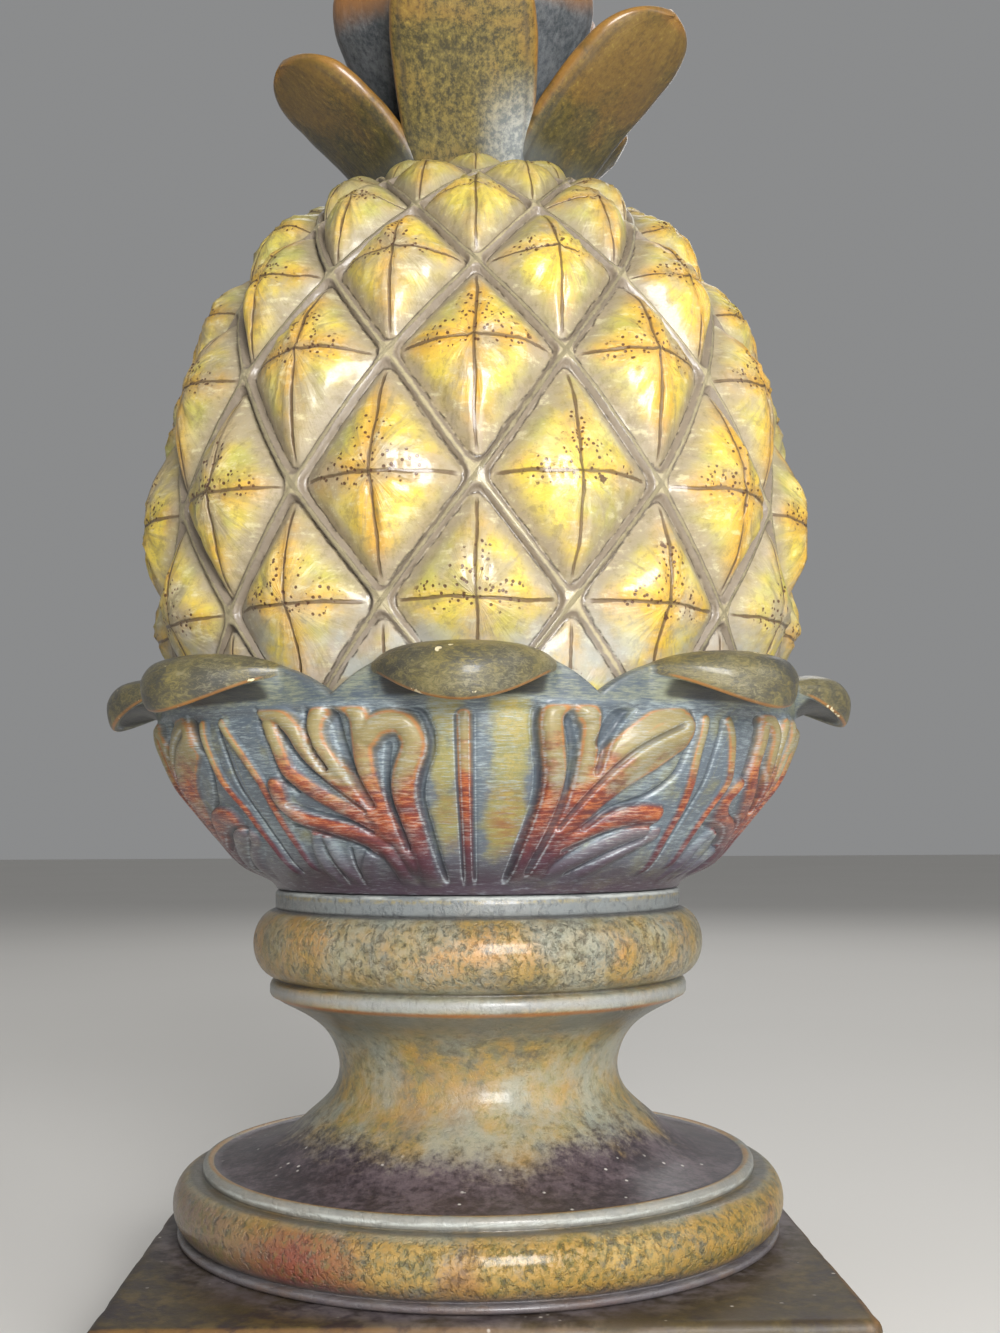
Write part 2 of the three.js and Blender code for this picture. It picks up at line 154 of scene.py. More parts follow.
# %% Socket class
class Value:
    """One output socket that can stand in a Python sum."""

    def __init__(self, maker, socket):
        self.maker, self.socket = maker, socket

    def math(self, operation, *others):
        """A Math node whose first value is this socket."""
        values = dict(enumerate((self, *others)))
        return self.maker.node("ShaderNodeMath", {"operation": operation}, values)

    def __add__(self, other):
        return self.math("ADD", other)

    def __sub__(self, other):
        return self.math("SUBTRACT", other)

    def __rsub__(self, other):
        return self.maker.node("ShaderNodeMath", {"operation": "SUBTRACT"}, {0: other, 1: self})

    def __mul__(self, other):
        return self.math("MULTIPLY", other)

    def __truediv__(self, other):
        return self.math("DIVIDE", other)

    def __pow__(self, other):
        return self.math("POWER", other)

    def __abs__(self):
        return self.math("ABSOLUTE")

    __radd__ = __add__
    __rmul__ = __mul__

    def low(self, other):
        return self.math("MINIMUM", other)

    def high(self, other):
        return self.math("MAXIMUM", other)

    def step(self, start, end):
        """A smooth step from 0 at start to 1 at end."""
        if start > end:
            return 1 - self.step(end, start)
        settings = {"interpolation_type": "SMOOTHSTEP"}
        return self.maker.node("ShaderNodeMapRange", settings, {0: self, 1: start, 2: end})

    def bump(self, middle, width):
        """A smooth hump that is 1 at the middle and 0 one width away."""
        return 1 - abs(self - middle).step(0.0, width)


# %% [markdown]
# The maker adds a node to a tree, sets it and links its sockets. Its last four methods
# are short forms of the nodes that come up most often.

# %% Maker class
class Maker:
    """Writes nodes into one tree."""

    def __init__(self, tree):
        self.tree = tree

    def node(self, kind, settings=None, sockets=None, out=0):
        made = self.tree.nodes.new(kind)
        for key, value in (settings or {}).items():
            if key == "curve":
                self.shape_curve(made, value)
            else:
                setattr(made, key, value)
        for key, value in (sockets or {}).items():
            if isinstance(value, Value):
                self.tree.links.new(value.socket, made.inputs[key])
            else:
                made.inputs[key].default_value = value
        return Value(self, made.outputs[out]) if len(made.outputs) else None

    def shape_curve(self, made, table):
        """Sets a Float Curve's points from [position, value] rows."""
        curve = made.mapping.curves[0]
        made.mapping.extend = "HORIZONTAL"
        while len(curve.points) < len(table):
            curve.points.new(0.5, 0.5)
        for point, (x, y) in zip(curve.points, table):
            point.location = (x, y)
            point.handle_type = "AUTO"
        made.mapping.update()

    def vector(self, operation, *terms, out=0):
        """A Vector Math node."""
        return self.node("ShaderNodeVectorMath", {"operation": operation}, dict(enumerate(terms)), out)

    def combine(self, x, y, z):
        """Three numbers put together as a vector."""
        return self.node("ShaderNodeCombineXYZ", None, {0: x, 1: y, 2: z})

    def split(self, vector):
        """The three numbers of a vector."""
        made = self.node("ShaderNodeSeparateXYZ", None, {0: vector})
        return [Value(self, s) for s in made.socket.node.outputs]

    def noise(self, place, scale, detail=2.0, rough=0.5, distortion=0.0):
        """A Noise Texture read at a place."""
        sockets = {"Vector": place, "Scale": scale, "Detail": detail, "Roughness": rough,
                   "Distortion": distortion}
        return self.node("ShaderNodeTexNoise", None, sockets)


# %% [markdown]
# ## One scale of the fruit
#
# The real fruit is a net of raised straps that cross in X shapes, with a cushioned
# four-sided scale in each mesh of the net. Every scale has a fine crease down its middle
# and one across. All have the same plan, so we make one flat master scale on a square
# from 0 to 1 and let Geometry Nodes repeat it. Its grid lines crowd along the straps,
# where the shape changes fast, and its corners touch the strap crossings.

# %% Master scale
near_strap = [0, 0.018, 0.031, 0.040, 0.051, 0.066, 0.09]
half_knots = near_strap + list(np.linspace(near_strap[-1], 0.5, 11)[1:])
knots = np.array(half_knots + [1 - k for k in half_knots[-2::-1]])
ku, kv = np.meshgrid(knots, knots, indexing="ij")
n_knots = len(knots)
scale_points = np.stack([ku, kv, ku * 0], -1).reshape(-1, 3) * 1000
scale_faces = []
for i in range(n_knots - 1):
    for j in range(n_knots - 1):
        a, b = i * n_knots + j, (i + 1) * n_knots + j
        c, d = b + 1, a + 1
        middle = i + j == n_knots - 2
        split = [[a, b, d], [b, c, d]] if middle else [[a, b, c], [a, c, d]]
        scale_faces += split
master_scale = make_mesh("master_scale", scale_points, scale_faces)
corner = master_scale.data.uv_layers.new(name="scale_place")
loops = [loop.vertex_index for loop in master_scale.data.loops]
flat = scale_points[loops, :2] / 1000
corner.data.foreach_set("uv", flat.ravel())
print("master scale:", n_knots, "lines a side,", len(scale_faces), "triangles")

# %% [markdown]
# ## Wrapping the scales round the fruit
#
# The tree puts one copy of the master at each mesh of the net and works on the copies
# in three moves. First it reads the flat place of each point and works out how far it
# stands up: strap, groove, cushion, creases and a few soft puckers that run out from the
# crossing. Then it wraps the flat net round the body, whose height and radius come from
# two curves. Last it pushes each point out along the surface by its stand-up. A curve
# node is handy here because the outline can be read from a short table.

# %% Tables of the fruit's outline
LEVELS = [[-1, 0.148], [0, 0.306], [1, 0.465], [2, 0.638], [3, 0.775], [4, 0.886],
          [5, 0.958], [6, 1.0]]
OUTLINE = [[0.148, 0.88], [0.22, 0.9], [0.306, 0.917], [0.383, 0.93], [0.465, 0.936],
           [0.546, 0.918], [0.638, 0.878], [0.71, 0.83], [0.775, 0.776], [0.84, 0.704],
           [0.886, 0.635], [0.925, 0.575], [0.958, 0.51], [1, 0.4]]
print("the outline has", len(OUTLINE), "rows and the net", len(LEVELS), "levels of crossings")

# %% Helpers for trees
def new_tree(name, inputs):
    """A geometry tree with named inputs, its maker and its input values."""
    tree = bpy.data.node_groups.new(name, "GeometryNodeTree")
    face = tree.interface
    face.new_socket("Geometry", in_out="INPUT", socket_type="NodeSocketGeometry")
    for title, (kind, value) in inputs.items():
        made = face.new_socket(title, in_out="INPUT", socket_type="NodeSocket" + kind)
        if value is not None:
            made.default_value = value
    face.new_socket("Geometry", in_out="OUTPUT", socket_type="NodeSocketGeometry")
    maker = Maker(tree)
    entry = tree.nodes.new("NodeGroupInput")
    given = {s.name: Value(maker, s) for s in entry.outputs if s.name}
    return tree, maker, given


def named(maker, title):
    """A number that every point carries under a name."""
    return maker.node("GeometryNodeInputNamedAttribute", {"data_type": "FLOAT"}, {"Name": title})


def store(maker, geometry, title, value):
    """The geometry with a number added to every point under a name."""
    settings = {"data_type": "FLOAT", "domain": "POINT"}
    sockets = {"Geometry": geometry, "Name": title, "Value": value}
    return maker.node("GeometryNodeStoreNamedAttribute", settings, sockets)


# %% Net of scales in the flat plan
fruit_inputs = {
    "Around": ("Int", 12), "Rows": ("Int", 8), "Radius": ("Float", FRUIT_RADIUS * 0.001),
    "Foot": ("Float", FRUIT_FOOT * 0.001), "Height": ("Float", FRUIT_HEIGHT * 0.001),
    "Relief": ("Float", 0.008), "Paint": ("Material", None),
}
fruit_tree, g, given = new_tree("wrapped scales", fruit_inputs)
around, rows = given["Around"], given["Rows"]
index = g.node("GeometryNodeInputIndex")
row = (index / around + 0.0001).math("FLOOR")
column = index - row * around
base = row - 2.0
turn = column * 2.0 + (base + 10.0).math("MODULO", 2.0)
spot = g.combine((base + turn) * 0.5, (base - turn) * 0.5, 0.0)
points = g.node("GeometryNodePoints", None, {"Count": around * rows, "Position": spot})
tone = g.node("FunctionNodeRandomValue", {"data_type": "FLOAT"}, {"Seed": 5}, out=1)
points = store(g, points, "tone", tone)
at_points = {"Points": points, "Instance": given["Geometry"]}
copies = g.node("GeometryNodeInstanceOnPoints", None, at_points)
net = g.node("GeometryNodeRealizeInstances", None, {"Geometry": copies})
place = g.node("GeometryNodeInputPosition")
u, v, _ = g.split(place)
level = u + v
below_foot = level.math("LESS_THAN", -1.0005)
above_top = level.math("GREATER_THAN", 6.0005)
net = g.node("GeometryNodeDeleteGeometry", {"domain": "FACE"},
             {"Geometry": net, "Selection": below_foot.high(above_top)})
print("inputs of the tree:", list(given))

# %% [markdown]
# The stand-up is worked out in the flat plan. One number does most of the work: the
# larger of the two distances from the middle of a scale, doubled. It is 0 where the
# creases of the scale cross and 1 on the middle line of a strap.

# %% Stand-up of a point of the net
CUSHION_MM, CREASE_MM, PUCKER_MM, DIMPLE_MM, STRAP_MM = 8.0, 0.85, 4.6, 2.4, 1.75
fu, fv = (u + 20.0).math("FRACT") - 0.5, (v + 20.0).math("FRACT") - 0.5
reach = abs(fu).high(abs(fv)) * 2.0
gap = (1 - abs(fu) * 2.0).math("SMOOTH_MIN", 1 - abs(fv) * 2.0, 0.3)
near = abs(fu).low(abs(fv)) * 2.0
tone_read = named(g, "tone")
turned_by = (fu - fv).math("ARCTAN2", fu + fv)
spoke = g.combine(turned_by.math("COSINE") * 1.9, turned_by.math("SINE") * 1.9,
                  tone_read * 37.0 + reach * 0.7)
pucker = g.noise(spoke, 1.6, 2.0, 0.55) - 0.5
dimple = g.noise(g.vector("ADD", place, g.combine(tone_read * 9.0, 0.0, 3.0)), 3.2, 3.0, 0.5) - 0.5
cushion = 1 - (reach / 0.9) ** 2.0
cross = abs(abs(fu) - abs(fv))
crease = (1 - cross.step(0.0, 0.045)) * (1 - reach.step(0.86, 0.93)) * reach.step(0.0, 0.05)
puff = cross.step(0.0, 0.22) * (1 - reach.step(0.62, 0.9))
inside = 1 - reach.step(0.8, 0.92)
fade = level.step(-0.6, 0.2) * (1 - level.step(3.5, 6.0) * 0.6)
scale_rise = cushion * CUSHION_MM - 1.0 + puff * 0.7 - crease * CREASE_MM
folded = pucker * PUCKER_MM * reach.step(0.05, 0.3) * (1 - reach.step(0.45, 0.85))
scale_rise = scale_rise + (folded + dimple * DIMPLE_MM) * inside
cut = g.noise(g.vector("ADD", place, (3.0, 5.0, 1.0)), 5.0, 3.0, 0.6) - 0.5
strap = 1 - (gap + cut * 0.03).step(0.034, 0.078)
knot = (1 - (1 - near).step(0.0, 0.3)) * strap
strap_rise = strap * (STRAP_MM + knot * 0.4 + cut * 1.2) - 1.0
rise = (scale_rise * fade).high(-1.0 * fade - 0.2) * (1 - strap)
rise = rise + strap_rise * (0.4 + fade * 0.6) * strap
net = store(g, net, "rise", rise * (given["Relief"] / CUSHION_MM))
print("the tree so far has", len(fruit_tree.nodes), "nodes")

# %% [markdown]
# Now the net is wrapped. The creases wander a little on the real thing, so points well
# inside a scale slide sideways by a millimetre or so first.

# %% Wrap and push out
wander = g.noise(g.combine(level * 1.3, tone_read * 50.0, (u - v) * 0.2), 1.0, 2.0) - 0.5
drift = g.noise(g.combine((u - v) * 1.3, tone_read * 50.0, 7.0), 1.0, 2.0) - 0.5
loose = 1 - reach.step(0.55, 0.9)
half_pitch = math.radians(180 / 12)
angle = (u - v + wander * loose * 0.14) * half_pitch + math.radians(FRUIT_TURN)
climb = level + drift * loose * 0.1
level_curve = [[(a + 1) / 7, b] for a, b in LEVELS]
share = g.node("ShaderNodeFloatCurve", {"curve": level_curve}, {"Value": (climb + 1.0) / 7.0})
width = g.node("ShaderNodeFloatCurve", {"curve": OUTLINE}, {"Value": share})
radius = width * given["Radius"]
height = given["Foot"] + given["Height"] * share
wrapped = g.combine(radius * angle.math("SINE"), radius * angle.math("COSINE") * -1.0, height)
body = g.node("GeometryNodeSetPosition", None, {"Geometry": net, "Position": wrapped})
body = g.node("GeometryNodeMergeByDistance", None, {"Geometry": body, "Distance": 0.00003})
outward = g.node("GeometryNodeInputNormal")
push = g.node("ShaderNodeVectorMath", {"operation": "SCALE"}, {0: outward, "Scale": named(g, "rise")})
body = g.node("GeometryNodeSetPosition", None, {"Geometry": body, "Offset": push})
body = g.node("GeometryNodeRealizeInstances", None, {"Geometry": body})
body = g.node("GeometryNodeSetMaterial", None, {"Geometry": body, "Material": given["Paint"]})
leave = fruit_tree.nodes.new("NodeGroupOutput")
fruit_tree.links.new(body.socket, leave.inputs[0])
print("fruit tree has", len(fruit_tree.nodes), "nodes")

# %% [markdown]
# ## Turning a tree's result into a plain mesh
#
# A modifier's inputs are set by each socket's identifier, and before the object is first
# evaluated. The result is then taken as a plain mesh, because the finished part is
# saved without live modifiers.

# %% Apply helper
def grown(name, source, tree, settings=None):
    """A plain object from the result of a geometry tree on a source object."""
    modifier = source.modifiers.new(name, "NODES")
    modifier.node_group = tree
    for item in tree.interface.items_tree:
        if item.item_type == "SOCKET" and item.in_out == "INPUT" and item.name in (settings or {}):
            modifier[item.identifier] = settings[item.name]
    depsgraph = bpy.context.evaluated_depsgraph_get()
    mesh = bpy.data.meshes.new_from_object(
        source.evaluated_get(depsgraph), preserve_all_data_layers=True, depsgraph=depsgraph)
    source.modifiers.clear()
    mesh.name = name
    made = bpy.data.objects.new(name, mesh)
    bpy.context.scene.collection.objects.link(made)
    bpy.data.objects.remove(source)
    return made


# %% Closing the open ends
def close_ends(piece, middles):
    """Closes each open border of a mesh with a fan to the nearest of some middle points."""
    shape = bmesh.new()
    shape.from_mesh(piece.data)
    open_edges = [e for e in shape.edges if len(e.link_faces) == 1]
    tips = [shape.verts.new(m) for m in middles]
    for edge in open_edges:
        a, b = edge.verts
        tip = min(tips, key=lambda t: abs(t.co.z - a.co.z))
        loop = next(lp for lp in edge.link_faces[0].loops if lp.edge == edge)
        face = shape.faces.new([loop.link_loop_next.vert, loop.vert, tip])
        face.smooth = True
    left = sum(len(e.link_faces) != 2 for e in shape.edges)
    shape.to_mesh(piece.data)
    shape.free()
    print(piece.name, "closed", len(open_edges), "border edges;", left, "left open")


fruit = grown("pineapple_fruit", master_scale, fruit_tree)
fruit.data.polygons.foreach_set("use_smooth", [True] * len(fruit.data.polygons))
close_ends(fruit, [(0, 0, (FRUIT_FOOT + 20) * 0.001), (0, 0, FRUIT_TOP * 0.001)])
report(fruit)
print("fruit attributes:", [a.name for a in fruit.data.attributes])

# %% [markdown]
# ## The leaf cup
#
# The cup is a bowl of eight broad leaves. Each leaf folds over at the rim into a lip that
# droops outwards, with an open V between two lips. The bowl is carved with acanthus
# fronds. We lay a regular grid of columns round the bowl and of rows up the outside,
# over the lip and down inside, so the whole cup is one closed skin.
# The rim's section changes from the V to the full lip, so we keep three sections as
# tables and blend between them.

# %% Smooth reading of a table
def spline(table, x):
    """Smooth reading of a table of [position, value] rows."""
    xs, ys = np.array(table, float).T[:2]
    slopes = np.gradient(ys, xs)
    x = np.clip(x, xs[0], xs[-1])
    k = np.clip(np.searchsorted(xs, x) - 1, 0, len(xs) - 2)
    h = xs[k + 1] - xs[k]
    t = (x - xs[k]) / h
    a, b = 2 * t**3 - 3 * t**2 + 1, t**3 - 2 * t**2 + t
    c, d = -2 * t**3 + 3 * t**2, t**3 - t**2
    return a * ys[k] + b * h * slopes[k] + c * ys[k + 1] + d * h * slopes[k + 1]


# %% Sections of the cup
BOWL = [[0, 0.631], [0.02, 0.64], [0.1, 0.724], [0.23, 0.805], [0.35, 0.872],
        [0.465, 0.933], [0.58, 0.971], [0.7, 1], [0.8, 1]]
NOTCH = [[0, 0.78], [0, 0.785], [0, 0.79], [0, 0.795], [-0.02, 0.80], [-0.08, 0.81],
         [-0.3, 0.818], [-0.6, 0.82], [-0.8, 0.81], [-0.96, 0.78]]
FLANK = [[0.0, 0.78], [0.012, 0.82], [0.03, 0.86], [0.055, 0.905], [0.085, 0.945],
         [0.1, 0.965], [0.07, 0.978], [-0.12, 0.982], [-0.5, 0.965], [-0.84, 0.88]]
LIP = [[0.0, 0.78], [0.12, 0.805], [0.42, 0.832], [0.7, 0.81], [0.87, 0.757],
       [0.98, 0.80], [1.0, 0.895], [0.76, 0.975], [0.14, 0.998], [-0.72, 0.9]]
RIM_START = 0.78
BOWL_ROWS, RIM_ROWS, INNER_ROWS, COLUMNS = 78, 44, 6, 768
print("the cup's grid has", COLUMNS, "columns and", BOWL_ROWS + RIM_ROWS - 1 + INNER_ROWS, "rows")

# %% Rim of the cup
degrees = CUP_TURN + np.arange(COLUMNS) * 360 / COLUMNS
hand = 1.9 * np.exp(-((degrees - 18.8) / 11) ** 2) - 1.9 * np.exp(-((degrees - 337.5) / 11) ** 2)
leaf = (degrees + hand - CUP_TURN) / 45
w = np.abs((leaf + 0.5) % 1 - 0.5) * 2
lift = 1 - w**3
curl = np.clip(1 - (w / 0.67) ** 1.8, 0, 1)


def rim_section(steps):
    """Radius in mm and height share along the rim for every column."""
    position = np.linspace(0, len(LIP) - 1, steps)
    made = []
    for table in (NOTCH, FLANK, LIP):
        count = np.arange(len(table))
        offset, share = (spline(np.column_stack([count, np.array(table)[:, k]]), position)
                         for k in (0, 1))
        made.append((offset * np.where(offset > 0, CURL_REACH, CUP_WALL), share))
    out = []
    for k in (0, 1):
        side = made[0][k][:, None] + (made[1][k] - made[0][k])[:, None] * lift
        out.append(side + (made[2][k][:, None] - side) * curl)
    return BOWL_RADIUS + out[0], out[1]


rim_radius, rim_share = rim_section(RIM_ROWS)
print("lip reaches", round(float(rim_radius.max()), 1), "mm from the axis")

# %% [markdown]
# ## Carving with strokes
#
# A carver cuts a frond with a few long strokes. We do the same: each stroke is a line
# over the bowl, given as angle from the front and share of the cup's height, with a
# width and a height in millimetres. A ridge also has a warmth for its paint. A ridge
# stands up, a groove goes in. The pattern repeats every quarter turn.

# %% Ridges of the fronds
RIDGES = [
    (2.9, 2.5, 1.0, [(8.5, .06), (9.5, .2), (11, .3), (12.3, .4), (12.3, .5), (11.5, .6),
                     (11, .7), (12, .76), (14, .79), (15.8, .775), (16.9, .72)]),
    (2.3, 1.9, .7, [(16.9, .72), (17.5, .66), (17.3, .5), (16.8, .42), (15.5, .33),
                    (13.5, .22), (11.5, .1)]),
    (5.2, 2.5, 1.0, [(13.5, .22), (18.5, .4), (21.5, .5), (25, .57), (29, .63), (33, .68)]),
    (2.2, 1.1, .6, [(17.5, .42), (20, .53), (24, .64), (28.5, .72), (32.5, .745)]),
    (2.2, 1.1, .8, [(16, .27), (20, .36), (25, .47), (30, .55), (34, .62)]),
    (2.7, 2.2, 1.0, [(13, .1), (15, .17), (20, .25), (25, .305), (30, .33), (34.5, .325)]),
    (2.2, 1.7, .3, [(14, .04), (20, .13), (25, .19), (30, .24), (34, .265)]),
    (1.9, 1.4, .3, [(24, .07), (29, .15), (34, .21), (37.5, .25)]),
    (1.3, 1.1, .8, [(38.8, .72), (38.7, .6), (39.2, .5), (40, .43), (41, .35), (41.3, .25),
                    (42, .1)]),
    (3.0, 2.6, 1.0, [(-11, .06), (-11.5, .2), (-12, .3), (-12.5, .4), (-11.5, .5), (-10, .58),
                     (-9.8, .63), (-11, .685), (-13, .70), (-15.5, .68), (-17, .64)]),
    (2.5, 2.2, .9, [(-13.5, .12), (-16.5, .3), (-17.5, .4), (-18, .5), (-18, .58), (-17.8, .65),
                    (-18, .72), (-19.5, .77), (-21.5, .79)]),
    (2.5, 2.2, 1.0, [(-14, .15), (-17.5, .33), (-21, .45), (-24, .55), (-25.5, .62), (-25.5, .69),
                     (-24.5, .75)]),
    (2.3, 2.3, .9, [(-17, .25), (-20, .37), (-25, .5), (-28, .6), (-29.5, .68), (-32, .735),
                    (-35, .755)]),
    (2.2, 1.7, .8, [(-34.2, .7), (-33.4, .6), (-32.5, .51), (-28, .42), (-22, .33), (-18, .25)]),
    (2.4, 2.1, .8, [(-36.5, .45), (-37, .38), (-34, .315), (-29, .285), (-23, .25), (-19, .2),
                    (-17, .12), (-16.5, .04)]),
    (1.8, 1.5, .2, [(-36, .05), (-35, .18), (-33, .26)]),
    (1.8, 1.5, .2, [(-30, .04), (-31, .14), (-31, .24)]),
    (1.9, 1.5, .2, [(-27, .04), (-24, .13), (-20.5, .2)]),
    (1.3, 1.1, .6, [(-45.5, .72), (-43, .62), (-41.5, .55), (-40.5, .5), (-40, .45), (-40.5, .3),
                    (-40, .12)]),
    (1.7, .5, .9, [(-2.1, .02), (-2.1, .3), (-2.1, .55), (-2.1, .72)]),
]
print(len(RIDGES), "ridges in a quarter turn")

# %% Grooves of the fronds
GROOVES = [
    (1.9, 1.9, [(6.3, .06), (8.0, .2), (9.2, .3), (10.0, .4), (9.9, .5), (9.2, .6), (8.7, .7),
                (9.6, .79), (12, .82)]),
    (2.0, 1.5, [(13.6, .71), (15, .6), (15.1, .5), (14.4, .35), (12.4, .2), (10.8, .1)]),
    (1.5, 1.5, [(15, .28), (18.6, .41), (21.5, .5), (25, .58), (29, .64), (33.3, .69)]),
    (1.6, 1.5, [(19.3, .5), (20.8, .63), (24, .745), (27, .79), (31, .805), (34.6, .77),
                (36.6, .69), (36.4, .58), (35.2, .49), (31, .41), (25, .36), (20, .28)]),
    (2.6, 1.5, [(19, .62), (21.5, .72), (25.5, .79)]),
    (1.1, 1.0, [(17, .185), (21, .22), (25, .255), (31, .285), (36, .29)]),
    (1.1, 1.0, [(20, .09), (25, .14), (30, .19), (35, .235)]),
    (1.0, 1.0, [(-3.4, .03), (-3.3, .3), (-3.3, .72)]),
    (1.0, 1.0, [(-0.8, .03), (-0.9, .3), (-0.9, .72)]),
    (1.7, 1.8, [(-7.4, .06), (-8.5, .2), (-9.2, .3), (-9.7, .4), (-8.7, .5), (-7.3, .58),
                (-7.1, .65), (-8.6, .74), (-12, .76)]),
    (1.7, 1.4, [(-13.8, .2), (-14.6, .3), (-15.2, .42), (-14.6, .54), (-13.9, .61)]),
    (2.3, 2.0, [(-18.6, .38), (-20.5, .5), (-21.6, .6), (-22.2, .7), (-23, .76)]),
    (1.4, 2.2, [(-27.6, .79), (-27.3, .7), (-26.6, .6), (-25, .52)]),
    (1.2, 1.4, [(-32.4, .69), (-30.2, .57), (-25, .455), (-20, .35)]),
    (1.6, 1.9, [(-37, .79), (-36.2, .7), (-35.4, .6), (-34.8, .5), (-33, .44)]),
    (1.1, 1.1, [(-35.5, .38), (-30, .345), (-24, .31), (-20, .265)]),
    (1.2, 1.2, [(-38.5, .3), (-33.5, .28), (-28.8, .25), (-24, .21), (-21, .17)]),
    (1.0, 1.0, [(-33.4, .05), (-33, .2)]),
    (1.0, 1.0, [(-28.6, .05), (-27, .2)]),
    (1.0, 1.0, [(43.2, .72), (43.4, .4), (44, .1)]),
]
print(len(GROOVES), "grooves in a quarter turn")

# %% [markdown]
# Each stroke is laid on the flattened bowl. The distance of a point from the stroke's
# line gives a round hump. Where two ridges meet the higher one counts, and the grooves
# are cut out of what stands.

# %% Distance from a stroke
CARVING_RADIUS = 84
MM_A_DEGREE = math.radians(1) * CARVING_RADIUS


def from_line(x, y, line):
    """Distance in mm from points to a line of (degrees, share) rows."""
    best = np.full(x.shape, 1e9)
    rows = np.array(line, float) * [MM_A_DEGREE, CUP_HEIGHT]
    count = np.arange(len(rows))
    fine = np.linspace(0, len(rows) - 1, 5 * len(rows))
    rows = np.column_stack([spline(np.column_stack([count, rows[:, k]]), fine) for k in (0, 1)])
    for (x0, y0), (x1, y1) in zip(rows[:-1], rows[1:]):
        length = (x1 - x0) ** 2 + (y1 - y0) ** 2
        t = np.clip(((x - x0) * (x1 - x0) + (y - y0) * (y1 - y0)) / length, 0, 1)
        best = np.minimum(best, np.hypot(x - x0 - t * (x1 - x0), y - y0 - t * (y1 - y0)))
    return best


def dome(distance, width, power=1.5):
    """A round hump, 1 on the line and 0 one width away."""
    return np.clip(1 - (distance / width) ** 2, 0, 1) ** power


# %% Carving laid on the bowl
bowl_share = np.linspace(0, 1, BOWL_ROWS) ** 0.94 * RIM_START
local = (degrees + 45) % 90 - 45
X, Y = np.meshgrid(local * MM_A_DEGREE, bowl_share * CUP_HEIGHT)
stand, warmth, crest, dark = (np.zeros(X.shape) for _ in range(4))
RIDGE_SPREAD, RIDGE_LIFT, GROOVE_SPREAD, GROOVE_DEPTH = 1.28, 1.35, 0.85, 1.1
for wide, high, glow, line in RIDGES:
    for shift in (-90, 0, 90):
        away = from_line(X + shift * MM_A_DEGREE, Y, line)
        stand = np.maximum(stand, dome(away, wide * RIDGE_SPREAD, 0.8) * high * RIDGE_LIFT)
        warmth = np.maximum(warmth, ease(0, 0.5, dome(away, wide * 1.4, 1.0)) * glow)
        crest = np.maximum(crest, dome(away, wide * 1.2))
# Each groove also marks where the cup's paint lays painted shade.
for wide, deep, line in GROOVES:
    for shift in (-90, 0, 90):
        cut = dome(from_line(X + shift * MM_A_DEGREE, Y, line), wide * GROOVE_SPREAD)
        stand = stand - cut * deep * GROOVE_DEPTH
        dark = np.maximum(dark, cut)
print("carving stands from", round(stand.min(), 1), "to", round(stand.max(), 1), "mm")

# %% [markdown]
# The skin is put together row by row: the carved bowl, the rim with its lip, and a plain
# inner wall. Seven values go along with each point for the paint: warmth of the colour,
# nearness to a crest, depth in a groove (also set under each lip, for painted shadow),
# whether the point lies on the lip or on its edge, its share of the height, and its angle
# within the quarter turn.

# %% Cup skin
CARVING_SINK = 2.2
band = (ease(0.02, 0.1, bowl_share) * (1 - ease(RIM_START - 0.045, RIM_START, bowl_share)))[:, None]
bowl_radius = spline(BOWL, bowl_share)[:, None] * BOWL_RADIUS + (stand - CARVING_SINK) * band
inner_share = np.linspace(0.75, CUP_FLOOR / CUP_HEIGHT, INNER_ROWS)[:, None] * np.ones(COLUMNS)
inner_radius = np.interp(inner_share, *np.array(BOWL).T) * BOWL_RADIUS - CUP_WALL
cup_radius = np.vstack([bowl_radius, rim_radius[1:], inner_radius])
cup_share = np.vstack([bowl_share[:, None] * np.ones(COLUMNS), rim_share[1:], inner_share])
column_angle = np.radians(degrees)
cup_z = CUP_FOOT + cup_share * CUP_HEIGHT
rings = np.stack([cup_radius * np.sin(column_angle), -cup_radius * np.cos(column_angle), cup_z], -1)
points, faces = closed_skin(rings, (0, 0, CUP_FOOT), (0, 0, CUP_FOOT + CUP_FLOOR))


def on_cup(bowl, rim):
    """One value for each point of the cup skin."""
    whole = np.ones(COLUMNS)
    rows = [bowl * whole, np.ones((RIM_ROWS - 1, 1)) * rim * whole, np.zeros((INNER_ROWS, COLUMNS))]
    return np.append(np.vstack(rows).ravel(), [0, 0])


rim_place = np.linspace(0, 9, RIM_ROWS)[1:, None]
lip_mask = ease(3.4, 4.0, rim_place) * (1 - ease(8.6, 9, rim_place))
lip_mask = lip_mask * (0.35 + 0.65 * ease(0.0, 0.15, curl))
edge_mask = np.exp(-((rim_place - 4.2) / 0.34) ** 2) * ease(0.02, 0.3, curl)
# Painted shadow: the rows under each curled lip, carried in the dark value.
under = ease(0.0, 1.2, rim_place) * (1 - ease(3.2, 3.9, rim_place)) * ease(0.05, 0.4, curl)
cup_values = {
    "warmth": on_cup(warmth * band, 0.0), "crest": on_cup(crest * band, 0.0),
    "dark": on_cup(dark * band, under), "lip": on_cup(band * 0, lip_mask),
    "edge": on_cup(band * 0, edge_mask * np.ones(COLUMNS)),
    "share": np.append(cup_share.ravel(), [0, 0]),
    "panel": np.append(np.tile(local, cup_share.shape[0]), [0, 0]),
}
cup = make_mesh("leaf_cup_carved", points, faces, cup_values)
report(cup)

# %% [markdown]
# ## The pedestal
#
# The pedestal was turned: one outline swept round an axis. We write the outline from the
# foot up, with half-round rolls, a smooth waisted stem and small square ledges, and
# sweep it in fine steps.

